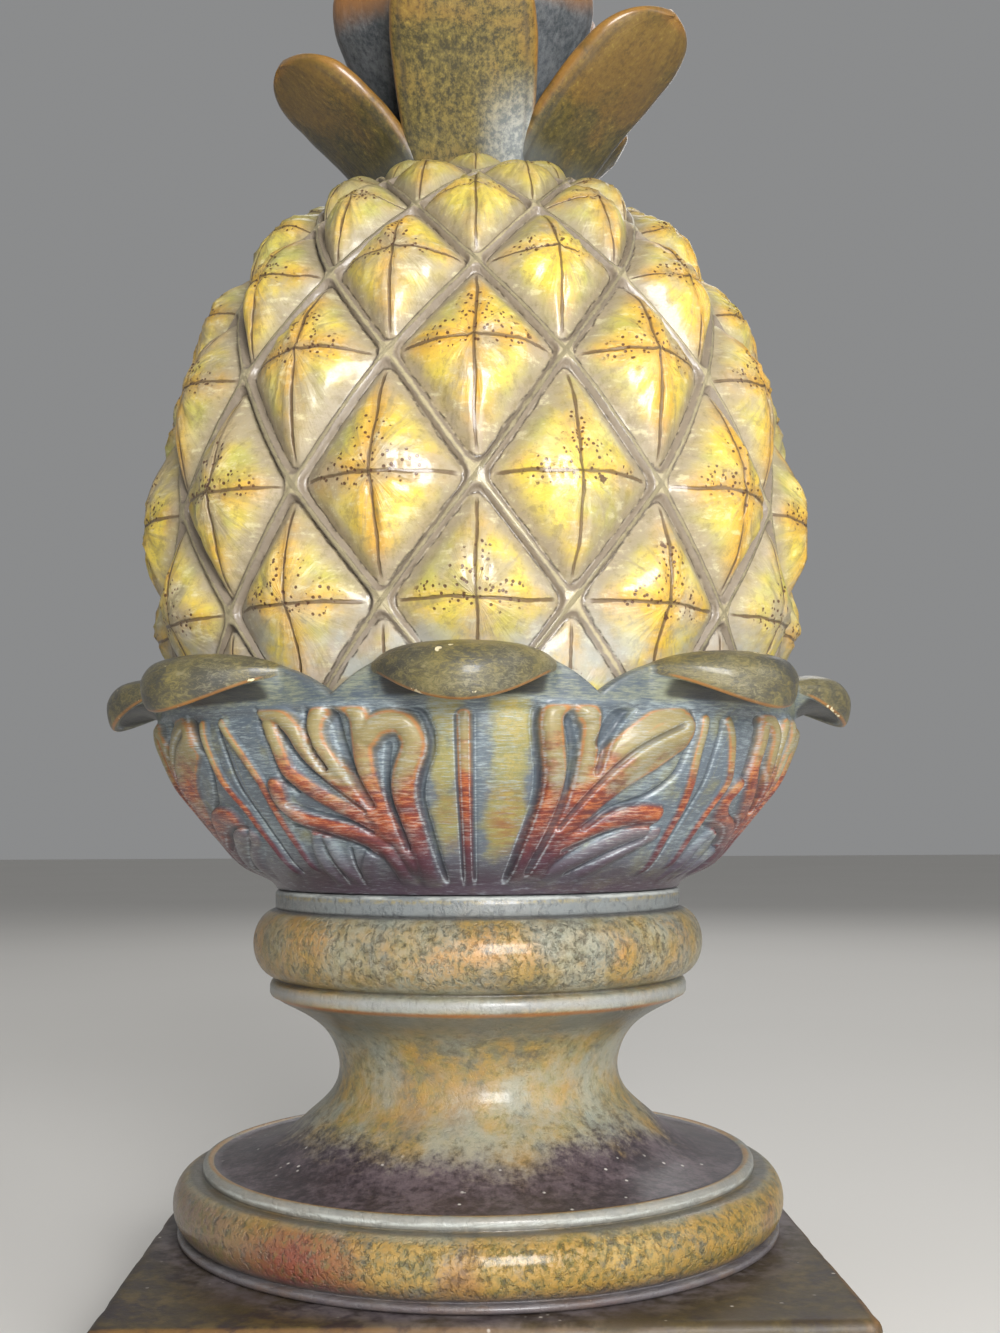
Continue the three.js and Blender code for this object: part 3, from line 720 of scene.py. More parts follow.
# %% Helpers for a turned outline
def roll(radius, low, high, steps=16):
    """Points of a flattened half-round between two heights."""
    half = (high - low) / 2
    t = -math.pi / 2 + math.pi * (np.arange(steps + 1) + 0.5) / (steps + 1)
    inwards = half * 0.75 * (1 - np.cos(t))
    return np.column_stack([radius - inwards, low + half + half * np.sin(t)]).tolist()


def line_up(rows, step=1.2):
    """The same outline with points no further apart than a step."""
    out = [rows[0]]
    for (r0, z0), (r1, z1) in zip(rows[:-1], rows[1:]):
        parts = max(1, int(math.hypot(r1 - r0, z1 - z0) / step))
        out += [[r0 + (r1 - r0) * k / parts, z0 + (z1 - z0) * k / parts] for k in range(1, parts + 1)]
    return out


# %% Heights and stem of the pedestal
ped = PLINTH_TOP + SEAM
roll_top = ped + 2 + 15.5
ridge_top = roll_top + 3.4
waist = PLINTH_TOP + 45.5
collar = PEDESTAL_TOP - 5.6
neck = collar - 19.8
bead = neck - 5.6
WAIST_RADIUS, DISH_RADIUS, BEAD_RADIUS = 41.4, 76, 62


def up(share):
    """Height at a share of the way from the dish to the waist."""
    return ridge_top - 1.6 + (waist - ridge_top) * share


def out(share):
    """Radius at a share of the way from the waist to the rim of the dish."""
    return WAIST_RADIUS + (DISH_RADIUS - WAIST_RADIUS) * share


stem_rows = [[up(0.03), 76.2], [up(0.1), out(0.78)], [up(0.22), out(0.56)], [up(0.52), out(0.26)],
             [up(0.78), out(0.07)], [waist, WAIST_RADIUS], [waist + 5.7, 42.4], [waist + 10, 44.5],
             [waist + 13.2, 47.2], [waist + 16.2, 51.2], [waist + 18.6, 55.4], [bead - 1.2, 58.8]]
stem_z = np.linspace(up(0.03), bead - 1.2, 44)
stem = np.column_stack([spline(stem_rows, stem_z), stem_z]).tolist()
print("stem from", round(stem_z[0], 1), "to", round(stem_z[-1], 1), "mm")

# %% Outline and sweep
outline = [[86.6, ped], [87.4, ped + 0.7], [87.4, ped + 1.6], [86.8, ped + 2]]
outline += roll(88.8, ped + 2, roll_top)
outline += [[79.6, roll_top - 0.1], [80.5, roll_top + 0.6], [80.5, ridge_top - 1.2],
            [80.1, ridge_top - 0.4], [79.2, ridge_top], [78.4, ridge_top + 0.05], [77.4, ridge_top - 0.35]]
outline += stem + [[60.3, bead - 0.2], [61.6, bead + 0.4], [BEAD_RADIUS, bead + 1.1],
                   [BEAD_RADIUS, bead + 3.2], [61.6, bead + 4.2], [60.6, bead + 4.6]]
outline += [[59.9, bead + 4.8], [59.7, neck - 0.4]] + roll(67, neck, collar, 18)
outline += [[60.2, collar], [60.6, collar + 0.5], [60.6, PEDESTAL_TOP - 1], [60.1, PEDESTAL_TOP - 0.3],
            [59.6, PEDESTAL_TOP]]


def swept(rows, steps):
    """Rings of an outline of (radius, height) rows turned round the axis."""
    radius, height = np.array(rows)[:, :1], np.array(rows)[:, 1:]
    t = np.arange(steps) * 2 * math.pi / steps
    return np.stack([radius * np.sin(t), -radius * np.cos(t), height * np.ones(steps)], -1)


rings = swept(line_up(outline), 288)
points, faces = closed_skin(rings, (0, 0, ped), (0, 0, PEDESTAL_TOP))
pedestal = make_mesh("pedestal_turned", points, faces)
report(pedestal)

# %% [markdown]
# ## The plinth
#
# The plinth is a square slab whose edges have been knocked and rubbed. A slab with a
# perfect bevel looks like plastic, so the rings that make the rounded edge are set in a
# little more or less as they go round, by waves that a seeded generator picks.

# %% Square slab with rubbed edges
rng = np.random.default_rng(7)
side_steps, corner_steps, corner_radius = 46, 6, 2.6


def square_ring(inset, z):
    """Points of a square with round corners, set in from the slab's side."""
    half = PLINTH_SIDE / 2 - inset
    start = half - corner_radius
    flat = []
    for quarter in range(4):
        c, s = math.cos(quarter * math.pi / 2), math.sin(quarter * math.pi / 2)
        side = [(half, -start + 2 * start * k / side_steps) for k in range(side_steps + 1)]
        bend = [(start + corner_radius * math.cos(q), start + corner_radius * math.sin(q))
                for q in np.linspace(0, math.pi / 2, corner_steps + 1)[1:-1]]
        flat += [(x * c - y * s, x * s + y * c) for x, y in side + bend]
    return np.array([(x, y, z) for x, y in flat])


waves = [(rng.integers(3, 60), rng.uniform(0, 6.28), rng.uniform(0.05, 0.16)) for _ in range(14)]
rows = [(2.4, 0.0), (1.2, 0.4), (0.4, 1.2), (0.1, 2.2)]
rows += [(0.0, z) for z in np.linspace(3.2, PLINTH_TOP - 3, 9)]
rows += [(0.15, PLINTH_TOP - 2), (0.5, PLINTH_TOP - 1.1), (1.2, PLINTH_TOP - 0.4),
         (2.3, PLINTH_TOP - 0.05)]
rows += [(inset, PLINTH_TOP) for inset in (4, 8, 14, 22, 32, 44, 58, 74)]
rings = []
for inset, z in rows:
    ring = square_ring(inset, z)
    t = np.arange(len(ring)) * 2 * math.pi / len(ring)
    rub = sum(size * np.sin(t * n + phase) for n, phase, size in waves)
    near = math.exp(-((z - PLINTH_TOP + 0.8) / 1.2) ** 2) * (inset < 5)
    ring[:, :2] *= 1 - np.clip(rub, 0, 1)[:, None] * near / (PLINTH_SIDE / 2)
    rings.append(ring)
points, faces = closed_skin(np.array(rings), (0, 0, 0), (0, 0, PLINTH_TOP))
angle = math.radians(PLINTH_TURN)
c, s = math.cos(angle), math.sin(angle)
points = points @ np.array([[c, s, 0], [-s, c, 0], [0, 0, 1]])
plinth = make_mesh("plinth_slab", points, faces)
report(plinth)

# %% [markdown]
# ## The crown
#
# The crown is fifteen thick leaves of one kind, which differ in place, lean and width.
# That is work for Geometry Nodes again: one flat master leaf, and a small table with a
# row for each leaf: its turn round the axis, its root's radius, how far it reaches and
# climbs, its width and its bend. The rows become points that carry their numbers as
# attributes, and the tree bends each copy by its own numbers. The master leaf is a
# closed paddle that is hollowed a little on its face and has a rounded rim.

# %% Master leaf and the table of leaves
LEAVES = [
    (-4, 25, 0.44, 0.53, 1.12, 0.3), (52, 25, 0.53, 0.44, 1.06, 0.45),
    (-63, 26, 0.43, 0.36, 1.06, 0.5),
    (114, 25, 0.29, 0.35, 0.85, 0.5), (173, 25, 0.46, 0.44, 1, 0.4), (232, 25, 0.33, 0.42, 0.9, 0.45),
    (28, 15, 0.38, 0.66, 1, 0.4), (-38, 15, 0.44, 0.6, 0.98, 0.4), (86, 15, 0.24, 0.66, 0.9, 0.4),
    (145, 15, 0.36, 0.63, 1, 0.4), (204, 15, 0.36, 0.6, 0.95, 0.4), (262, 15, 0.22, 0.65, 0.9, 0.4),
    (-5, 5, 0.14, 0.96, 0.74, 0.3), (118, 5, 0.15, 0.88, 0.72, 0.3), (238, 5, 0.14, 0.92, 0.72, 0.3),
]
WIDTHS = [[0, 0.86], [0.25, 0.93], [0.5, 0.99], [0.7, 1], [0.84, 0.92], [0.9, 0.8],
          [0.94, 0.66], [0.97, 0.48], [0.99, 0.28], [1.0, 0.12]]
leaf_around, leaf_along = 40, 76
t_along = 1 - (1 - np.linspace(0, 1, leaf_along)) ** 1.25
q = np.arange(leaf_around) * 2 * math.pi / leaf_around
across = np.sign(np.cos(q)) * np.abs(np.cos(q)) ** 0.75
half_width = spline(WIDTHS, t_along) / 2
thin = 1 - 0.5 * ease(0.75, 1, t_along)
hollow = 0.55 * (1 - across**2) ** 1.5 * (np.sin(q) < 0)
depth = 0.5 * np.sign(np.sin(q)) * np.abs(np.sin(q)) ** 0.7
rings = np.stack([np.outer(half_width, across), np.outer(thin, depth + hollow * 0.35),
                  t_along[:, None] * np.ones(leaf_around)], -1)
points, faces = closed_skin(rings, (0, 0, 0), (0, 0, 1.004))
sheet_values = {
    "along": np.append(np.repeat(t_along, leaf_around), [0, 1]),
    "across": np.append(np.tile(across, leaf_along), [0, 0]),
    "breadth": np.append(np.repeat(half_width * 2, leaf_around), [half_width[0] * 2, 0]),
}
master_leaf = make_mesh("master_leaf", points * 1000, faces, sheet_values)
rows = np.array(LEAVES, float)
crown_seed = make_mesh("crown_seed", np.zeros((len(rows), 3)), [], {
    "turn": np.radians(rows[:, 0]), "root": rows[:, 1] * 0.001,
    "reach": rows[:, 2] * CROWN_HEIGHT * 0.001, "climb": rows[:, 3] * CROWN_HEIGHT * 0.001,
    "wide": rows[:, 4] * LEAF_WIDTH * 0.001, "bend": rows[:, 5],
    "inner": (rows[:, 1] < 10) * 1.0 + (rows[:, 1] < 20) * 0.5, "number": np.arange(len(rows)) * 1.0,
})

# %% Tree that bends the leaves
crown_inputs = {
    "Leaf": ("Object", None), "Foot": ("Float", (CROWN_FOOT + 1.5) * 0.001),
    "Thickness": ("Float", LEAF_THICKNESS * 0.001), "Camber": ("Float", 0.0032),
    "Paint": ("Material", None),
}
crown_tree, g, given = new_tree("bent leaves", crown_inputs)
leaf_shape = g.node("GeometryNodeObjectInfo", None, {"Object": given["Leaf"]}, out=4)
at_points = {"Points": given["Geometry"], "Instance": leaf_shape}
copies = g.node("GeometryNodeInstanceOnPoints", None, at_points)
body = g.node("GeometryNodeRealizeInstances", None, {"Geometry": copies})
x, y, t = g.split(g.node("GeometryNodeInputPosition"))
bend, reach, climb = named(g, "bend"), named(g, "reach"), named(g, "climb")
path_out = named(g, "root") + reach * (t * (1 - bend) + bend * t * t)
path_up = given["Foot"] + climb * (t * (bend * 0.25 + 1.0) - bend * 0.25 * t * t)
slope_out = reach * ((1 - bend) + bend * t * 2.0)
slope_up = climb * ((bend * 0.25 + 1.0) - bend * 0.5 * t)
lean = slope_out.math("ARCTAN2", slope_up)
side = x * named(g, "wide")
lane = named(g, "across")
sway = g.noise(g.combine(t * 2.2, lane * 0.8, named(g, "number") * 7.0), 1.0, 2.0) - 0.5
breadth = named(g, "breadth")
camber = given["Camber"] * (1 - lane * lane) * breadth * breadth
depth = y * given["Thickness"] - camber + sway * 0.004 * t
leaf_out = path_out - depth * lean.math("COSINE")
leaf_up = path_up + depth * lean.math("SINE")
turn = named(g, "turn")
cos_turn, sin_turn = turn.math("COSINE"), turn.math("SINE")
bent = g.combine(side * cos_turn + leaf_out * sin_turn, side * sin_turn - leaf_out * cos_turn, leaf_up)
body = g.node("GeometryNodeSetPosition", None, {"Geometry": body, "Position": bent})
body = g.node("GeometryNodeRealizeInstances", None, {"Geometry": body})
body = g.node("GeometryNodeSetMaterial", None, {"Geometry": body, "Material": given["Paint"]})
leave = crown_tree.nodes.new("NodeGroupOutput")
crown_tree.links.new(body.socket, leave.inputs[0])
crown = grown("crown_leaves", crown_seed, crown_tree, {"Leaf": master_leaf})
bpy.data.objects.remove(master_leaf)
report(crown)

# %% [markdown]
# The leaves spring from a low round core. It is joined into the same mesh, so the crown
# stays one piece. All points of a leaf that would dip below the foot of the crown are
# lifted to it, so nothing reaches into the fruit.

# %% Core of the crown
core_rows = line_up([[20, CROWN_FOOT], [27, CROWN_FOOT], [27, CROWN_FOOT + 8],
                     [25.5, CROWN_FOOT + 10.5], [21, CROWN_FOOT + 12.5]], 1.5)
rings = swept(core_rows, 96)
points, faces = closed_skin(rings, (0, 0, CROWN_FOOT), (0, 0, CROWN_FOOT + 13))
core_piece = make_mesh("core", points, faces)
shape = bmesh.new()
shape.from_mesh(crown.data)
for vertex in shape.verts:
    vertex.co.z = max(vertex.co.z, CROWN_FOOT * 0.001)
shape.from_mesh(core_piece.data)
shape.to_mesh(crown.data)
shape.free()
bpy.data.objects.remove(core_piece)
crown.data.polygons.foreach_set("use_smooth", [True] * len(crown.data.polygons))
report(crown)

# %% [markdown]
# ## Paint
#
# The whole object is painted resin: a thin wash of dark colour in the hollows, deepened
# in places by painted shade, dry strokes of bright colour on the high places and a clear
# varnish over all. Each finish below follows that order: ground colours first, then wash,
# then strokes, then the fine lines and specks, and last the roughness and a small bump.
# Painted highlights are laid in here and there as well.

# %% Paint helpers
def chart(code):
    """A colour for a node from a six-digit code of a colour chart."""
    parts = [int(code[i:i + 2], 16) / 255 for i in (0, 2, 4)]
    return tuple(p / 12.92 if p < 0.04045 else ((p + 0.055) / 1.055) ** 2.4 for p in parts) + (1.0,)


def mix(under, over, amount):
    """One colour laid over another by an amount from 0 to 1."""
    under, over = (chart(c) if isinstance(c, str) else c for c in (under, over))
    settings = {"data_type": "RGBA", "clamp_factor": True}
    return amount.maker.node("ShaderNodeMix", settings, {0: amount, 6: under, 7: over}, out=2)


def new_finish(name):
    """A new material with an empty tree, its maker and the place of a spot in metres."""
    material = bpy.data.materials.new(name)
    material.use_nodes = True
    material.node_tree.nodes.clear()
    maker = Maker(material.node_tree)
    return material, maker, maker.node("ShaderNodeTexCoord", None, None, out=3)


def varnish(maker, color, roughness, height, coat, coat_roughness=0.18):
    """Joins colour, roughness and a height in mm to the shader and the output."""
    normal = maker.node("ShaderNodeBump", None, {"Strength": 1.0, "Distance": 0.001, "Height": height})
    shader = maker.node("ShaderNodeBsdfPrincipled", None, {
        "Base Color": color, "Roughness": roughness, "Normal": normal, "Coat Weight": coat,
        "Coat Roughness": coat_roughness, "IOR": 1.46})
    maker.node("ShaderNodeOutputMaterial", None, {"Surface": shader})


# %% Helpers for patterns
def streaked(maker, place, tall):
    """The place with its height scaled, which draws a pattern out into level strokes."""
    return maker.vector("MULTIPLY", place, (1.0, 1.0, tall))


def moved(maker, place, *shift):
    """The place moved aside, so that two patterns of one kind don't coincide."""
    return maker.vector("ADD", place, shift)


def attribute(maker, title):
    """A number that the mesh carries for every point, read by a material."""
    return maker.node("ShaderNodeAttribute", {"attribute_name": title}, None, out=2)


# %% [markdown]
# ## Finish of the fruit
#
# The master scale carried a UV map with its own square from 0 to 1, and every copy kept
# it. So the paint knows for each spot how far it is from a strap and from a crease, and
# the fine dark lines stay crisp however close the camera comes.

# %% Fruit finish
fruit_paint, m, place = new_finish("golden_scales")
flat = m.node("ShaderNodeUVMap", {"uv_map": "scale_place"})
pu, pv, _ = m.split(flat)
fu, fv = pu - 0.5, pv - 0.5
strap_mm = (20.0 - abs(fu) * 40.0).math("SMOOTH_MIN", 20.0 - abs(fv) * 40.0, 6.0)
upright_mm, level_mm = abs(fu - fv) * 25.0, abs(fu + fv) * 31.0
jitter = m.noise(place, 260.0, 2.0) - 0.5
crease_mm = upright_mm.low(level_mm) + jitter * 0.7
middle_mm = ((fu - fv) * (fu - fv) * 620.0 + (fu + fv) * (fu + fv) * 960.0) ** 0.5
tone = attribute(m, "tone")
x, y, z = m.split(place)

broad = m.noise(place, 42.0, 3.0, 0.6)
patch = m.noise(moved(m, place, 0.31, 0.2, 0.1), 75.0, 4.0, 0.62)
brush = m.noise(streaked(m, place, 3.5), 130.0, 4.0, 0.65)
fine = m.noise(place, 700.0, 3.0, 0.6)
grain = m.noise(place, 330.0, 5.0, 0.75)
color = mix("CDB84C", "A9A454", broad.step(0.42, 0.62))
color = mix(color, "D6CA86", patch.step(0.48, 0.7) * 0.8)
ochre = (1 - crease_mm.step(0.6, 8.5)) * (patch + tone * 0.3).step(0.38, 0.72) * strap_mm.step(2.0, 6.0)
color = mix(color, "CB9732", ochre * 0.75)
rust = (1 - crease_mm.step(0.3, 3.2)) * (brush + tone * 0.2).step(0.45, 0.7)
color = mix(color, "A5742B", rust * 0.48)
print("ground colours take", len(fruit_paint.node_tree.nodes), "nodes")

# %% Wash and painted fold shade of the fruit
turned_by = (fu - fv).math("ARCTAN2", fu + fv)
spoke = m.combine(turned_by.math("COSINE") * 2.6, turned_by.math("SINE") * 2.6,
                  tone * 37.0 + middle_mm * 0.04)
folds = m.noise(spoke, 2.2, 3.0, 0.6)
# Painted shade: darker olive bands along the folds that run out from the crossing.
fold_shade = folds.step(0.52, 0.72) * middle_mm.step(3.0, 8.0) * (1 - middle_mm.step(16.0, 25.0))
color = mix(color, "8D8058", fold_shade * 0.6)
edge_wash = 1 - (strap_mm - patch * 7.0 - brush * 2.5).step(-2.6, 4.0)
color = mix(color, "918473", edge_wash * 0.88)
cloud = m.noise(moved(m, place, 0.7, 0.3, 0.4), 58.0, 3.0, 0.6)
color = mix(color, "948870", (cloud + grain * 0.3 - 0.15).step(0.47, 0.68) * 0.8)
color = mix(color, "E6DDB0", (brush * 0.6 + grain * 0.5).step(0.58, 0.7) * 0.35)
color = mix(color, "7C6F4C", (1 - (grain * 0.75 + brush * 0.25).step(0.38, 0.5)) * 0.5)
low_grey = (1 - z.step(0.176, 0.212)) * patch.step(0.4, 0.62)
color = mix(color, "9AA09E", low_grey * 0.7)
low_pink = (1 - z.step(0.172, 0.200)) * broad.step(0.5, 0.62)
color = mix(color, "C4A890", low_pink * 0.6)
# Darker olive towards the top of the fruit, under the crown.
darker_top = z.step(0.300, 0.336) * (patch + 0.25).step(0.4, 0.8)
color = mix(color, "82784F", darker_top * 0.6)
print("wash is laid with", len(fruit_paint.node_tree.nodes), "nodes")

# %% Straps, creases and specks of the fruit
crown_of_strap = 1 - (strap_mm + (brush - 0.5) * 2.0).step(0.1, 0.8)
on_strap = 1 - (strap_mm + jitter * 0.8).step(1.2, 1.9)
color = mix(color, "7C7061", on_strap * 0.9)
color = mix(color, "B4A880", crown_of_strap * (0.2 + grain * 0.8))
scribble = (brush * 0.6 + grain * 0.5).step(0.44, 0.6)
groove = (strap_mm + jitter * 1.3).bump(1.75, 0.5) * scribble
color = mix(color, "43382E", groove * 0.9)
crease = (1 - crease_mm.step(0.18, 0.62)) * (1 - (2.6 - strap_mm).step(-1.2, 0.4))
color = mix(color, "57432B", crease * (0.55 + grain * 0.6))
cells = m.node("ShaderNodeTexVoronoi", {"feature": "F1"}, {"Vector": place, "Scale": 620.0})
crumbs = m.noise(moved(m, place, 0.11, 0.6, 0.9), 150.0, 2.0)
speck_zone = (1 - crease_mm.step(1.0, 9.0)) * (1 - middle_mm.step(9.0, 19.0))
speck_zone = speck_zone * (fu + fv + 0.25).step(0.0, 0.3)
specks = (1 - cells.step(0.2, 0.34)) * (crumbs * 0.8 + speck_zone * 0.46 + tone * 0.06).step(0.62, 0.7)
blots = m.noise(moved(m, place, 0.5, 0.9, 0.2), 300.0, 3.0, 0.6) * 0.75 + crumbs * 0.3
blots = blots.step(0.66, 0.685) * (1 - crease_mm.step(2.0, 6.0))
specks = (specks.high(blots) * speck_zone.step(0.05, 0.4)).low(1.0)
color = mix(color, "4A2916", specks * 0.9)
rough = 0.33 + edge_wash * 0.12 + grain * 0.12
small = fine * 0.05 + brush * 0.2 + grain * 0.12 + folds * 0.4
small = small - crease * 0.3 - groove * 0.2 - specks * 0.12
varnish(m, color, rough, small, 0.35, 0.14)
print("fruit finish has", len(fruit_paint.node_tree.nodes), "nodes")

# %% [markdown]
# ## Finish of the cup
#
# The cup's mesh carries what the carving strokes know: how warm a place is, how near a
# crest, how deep in a groove. Blue-grey and olive make the ground, red and orange lie on
# the fronds, painted shade darkens the grooves, a painted shadow lies under each lip, and
# fine level strokes run across all of it, as a nearly dry brush leaves them.

# %% Cup finish
cup_paint, m, place = new_finish("leaf_cup_colours")
warmth, crest, dark = (attribute(m, n) for n in ("warmth", "crest", "dark"))
lip, edge, share, panel = (attribute(m, n) for n in ("lip", "edge", "share", "panel"))
broad = m.noise(place, 38.0, 3.0, 0.6)
patch = m.noise(moved(m, place, 0.2, 0.4, 0.7), 85.0, 4.0, 0.6)
stroke = m.noise(streaked(m, place, 7.0), 95.0, 5.0, 0.7)
hair = m.noise(streaked(m, place, 9.0), 260.0, 4.0, 0.75)
fine = m.noise(place, 650.0, 3.0, 0.6)
sides = panel.bump(5.0, 5.0).high(panel.bump(-5.2, 4.0) * 0.6) * share.step(0.1, 0.35)
ground = mix("57616A", "7E7A4C", (patch * 0.9 + sides * 0.5 + hair * 0.4 - 0.15).step(0.5, 0.76))
grain = m.noise(place, 480.0, 4.0, 0.8)
ground = mix(ground, "A2904C", sides * (grain * 0.7 + patch * 0.4).step(0.44, 0.64) * 0.75)
ground = mix(ground, "93A0A2", (hair * 0.9 + broad * 0.45).step(0.62, 0.82) * 0.6)
ground = mix(ground, "7E3A30", sides * (1 - share.step(0.25, 0.52)) * stroke.step(0.38, 0.6) * 0.8)
warm = mix("641A14", "9A4420", (crest * 0.3 + stroke * 0.9 + share * 0.35).step(0.58, 1.0))
warm = mix(warm, "B8763C", (hair * 0.7 + stroke * 0.4).step(0.52, 0.64) * share.step(0.12, 0.4) * 0.7)
warm = mix(warm, "4A2230", (1 - (share + patch * 0.25).step(0.24, 0.48)) * 0.9)
warm = mix(warm, "521A18", (1 - (hair * 0.6 + stroke * 0.4).step(0.42, 0.54)) * 0.6)
warm = mix(warm, "8A8154", (share * 1.1 + patch * 0.7 + stroke * 0.4).step(0.98, 1.22) * 0.9)
rims = crest.bump(0.4, 0.3) * share.step(0.3, 0.6) * (stroke + 0.2).step(0.5, 0.7)
warm = mix(warm, "B4692E", rims * 0.6)
warm = mix(warm, "4C535B", (1 - (crest + stroke * 0.2).step(0.1, 0.55)) * 0.85)
warm = mix(warm, "98A0A2", (hair * 0.7 + patch * 0.45).step(0.56, 0.72) * 0.4)
color = mix(ground, warm, warmth.step(0.1, 0.6) * (0.8 + stroke * 0.3))
color = mix(color, "98A3A5", (hair * 0.8 + stroke * 0.3).step(0.6, 0.76) * (0.6 - crest * 0.3))
foot = 1 - (share + patch * 0.22).step(0.14, 0.36)
color = mix(color, "3E2B38", foot * (0.6 + broad * 0.6))
color = mix(color, "868C96", foot * hair.step(0.54, 0.7) * 0.55)
# Painted shade: the grooves and the hollow under each lip are darkened.
color = mix(color, "30363E", dark.step(0.35, 0.95) * 0.6)
groove_sides = dark.bump(0.3, 0.28) * hair.step(0.38, 0.6)
color = mix(color, "AAB4B8", groove_sides * 0.6)
print("the bowl's colours take", len(cup_paint.node_tree.nodes), "nodes")

# %% Lips and varnish of the cup
bristle = m.noise(streaked(m, place, 2.0), 420.0, 5.0, 0.8, 1.2)
lip_color = mix("3B3A34", "57523A", (broad * 0.5 + patch * 0.5).step(0.4, 0.66))
lip_color = mix(lip_color, "85773E", (bristle * 0.8 + patch * 0.35).step(0.5, 0.74) * 0.7)
lip_color = mix(lip_color, "7B7C76", (broad * 0.5 + bristle * 0.5).step(0.5, 0.68) * 0.5)
flank = share.step(0.765, 0.80) * (1 - lip.step(0.1, 0.6))
color = mix(color, mix("444E57", "7A7D66", (hair * 0.5 + patch * 0.5).step(0.4, 0.6)), flank * 0.9)
color = mix(color, lip_color, lip.step(0.15, 0.7))
# Painted shadow: a near-black band under the overhanging lip, at the top of the bowl.
color = mix(color, "1E1C1C", (share.step(0.765, 0.79) * dark).step(0.3, 0.9) * 0.8)
color = mix(color, "94622A", edge.step(0.45, 0.9) * (0.3 + patch * 0.8))
chips = (m.noise(moved(m, place, 0.9, 0.1, 0.2), 170.0, 3.0, 0.6) + edge * 0.1) * lip.high(edge)
chips = chips.step(0.70, 0.72)
color = mix(color, "D8CBA4", chips * 0.9)
rough = 0.36 + dark * 0.15 + fine * 0.08
small = stroke * 0.22 + hair * 0.16 + fine * 0.05 - chips * 0.2
varnish(m, color, rough, small, 0.25)
print("cup finish has", len(cup_paint.node_tree.nodes), "nodes")

# %% [markdown]
# ## Finish of the pedestal
#
# The turned stem has bands of its own colour, which follow the height and the distance
# from the axis. The mottling is ochre, olive and slate, dabbed wet in wet. The rolls are
# more pitted than the smooth stem. A painted highlight runs as a light line along each
# ledge, and painted shadow lines run under the collar, the neck roll and the ridge.

# %% Pedestal finish
pedestal_paint, m, place = new_finish("mottled_pedestal")
x, y, z = m.split(place)
z_mm = z * 1000.0
r_mm = ((x * x + y * y) ** 0.5) * 1000.0
broad = m.noise(place, 30.0, 3.0, 0.6)
dabs = m.noise(moved(m, place, 0.5, 0.1, 0.3), 70.0, 5.0, 0.66, 0.3)
spots = m.noise(moved(m, place, 0.2, 0.8, 0.6), 190.0, 4.0, 0.7)
stroke = m.noise(streaked(m, place, 6.0), 90.0, 4.0, 0.7)
fine = m.noise(place, 600.0, 3.0, 0.65)
cloudy = m.noise(moved(m, place, 0.9, 0.5, 0.1), 48.0, 3.0, 0.6)
grain = m.noise(place, 380.0, 5.0, 0.78)
color = mix("6E6A58", "857B4A", dabs.step(0.36, 0.62))
color = mix(color, "A3813F", (spots * 0.5 + dabs * 0.3 + grain * 0.3).step(0.46, 0.68) * 0.8)
color = mix(color, "98703E", (broad * 0.7 + grain * 0.4).step(0.54, 0.7) * 0.45)
color = mix(color, "8A8F84", (cloudy * 0.7 + grain * 0.35).step(0.44, 0.64) * 0.7)
color = mix(color, "4F483C", (1 - (grain * 0.7 + broad * 0.35).step(0.38, 0.54)) * 0.6)

# %% Rolls and dish of the pedestal
foot_roll = z_mm.bump(36.0, 9.0).step(0.0, 0.3)
rolls = z_mm.bump(108.5, 11.5).step(0.0, 0.3).high(foot_roll)
pits = m.noise(streaked(m, place, 0.8), 560.0, 4.0, 0.7, 0.4)
foot_wash = foot_roll * (dabs * 0.5 + grain * 0.5).step(0.34, 0.5)
color = mix(color, mix("6A6230", "A9863A", grain.step(0.4, 0.6)), foot_wash * 0.8)
color = mix(color, "453B2C", rolls * pits.step(0.56, 0.66) * 0.6)
color = mix(color, "8E6B2E", rolls * (1 - pits.step(0.4, 0.56)) * broad.step(0.36, 0.6) * 0.6)
red = (m.noise(moved(m, place, 0.4, 0.4, 0.1), 26.0, 3.0, 0.6)).step(0.52, 0.66)
color = mix(color, "7C4034", z_mm.bump(35.0, 11.0) * red * 0.4)
left_way, front_way, up_way = x + 0.045, y + 0.072, z - 0.030
away = (left_way * left_way + front_way * front_way + up_way * up_way) ** 0.5
smear = 1 - (away + (broad - 0.5) * 0.03).step(0.008, 0.028)
color = mix(color, "7A3A36", smear * foot_roll * grain.step(0.3, 0.55) * 0.85)
# Partly a purple-grey patch of paint and partly painted shade: the foot roll's left side, away from the
# main light, turns purple-grey.
left_purple_and_shade = (0 - x).step(0.045, 0.078) * foot_roll
color = mix(color, "6C5C62", left_purple_and_shade * grain.step(0.35, 0.6) * 0.7)
color = mix(color, "B58446", z_mm.bump(110.0, 9.0) * broad.step(0.44, 0.6) * grain.step(0.4, 0.6) * 0.7)
ragged = z_mm + (grain - 0.5) * 12.0 + (broad - 0.5) * 16.0 + (spots - 0.5) * 8.0
dish = (1 - ragged.step(52.0, 61.0)) * z_mm.step(45.0, 45.4) * (1 - r_mm.step(77.2, 77.8))
color = mix(color, mix("2A2027", "5E5055", (grain * 0.6 + cloudy * 0.5).step(0.46, 0.7)), dish * 0.97)
ridge = z_mm.bump(45.6, 2.4).step(0.0, 0.5) * r_mm.step(78.6, 79.4)
color = mix(color, mix("6E6F70", "9A998F", spots), ridge * 0.85)
ridge_edge = z_mm.bump(47.1, 0.9) * r_mm.bump(78.3, 1.1)
color = mix(color, "96703A", (ridge_edge * 1.4).low(1.0) * dabs.step(0.3, 0.55))
print("rolls and dish are painted with", len(pedestal_paint.node_tree.nodes), "nodes")

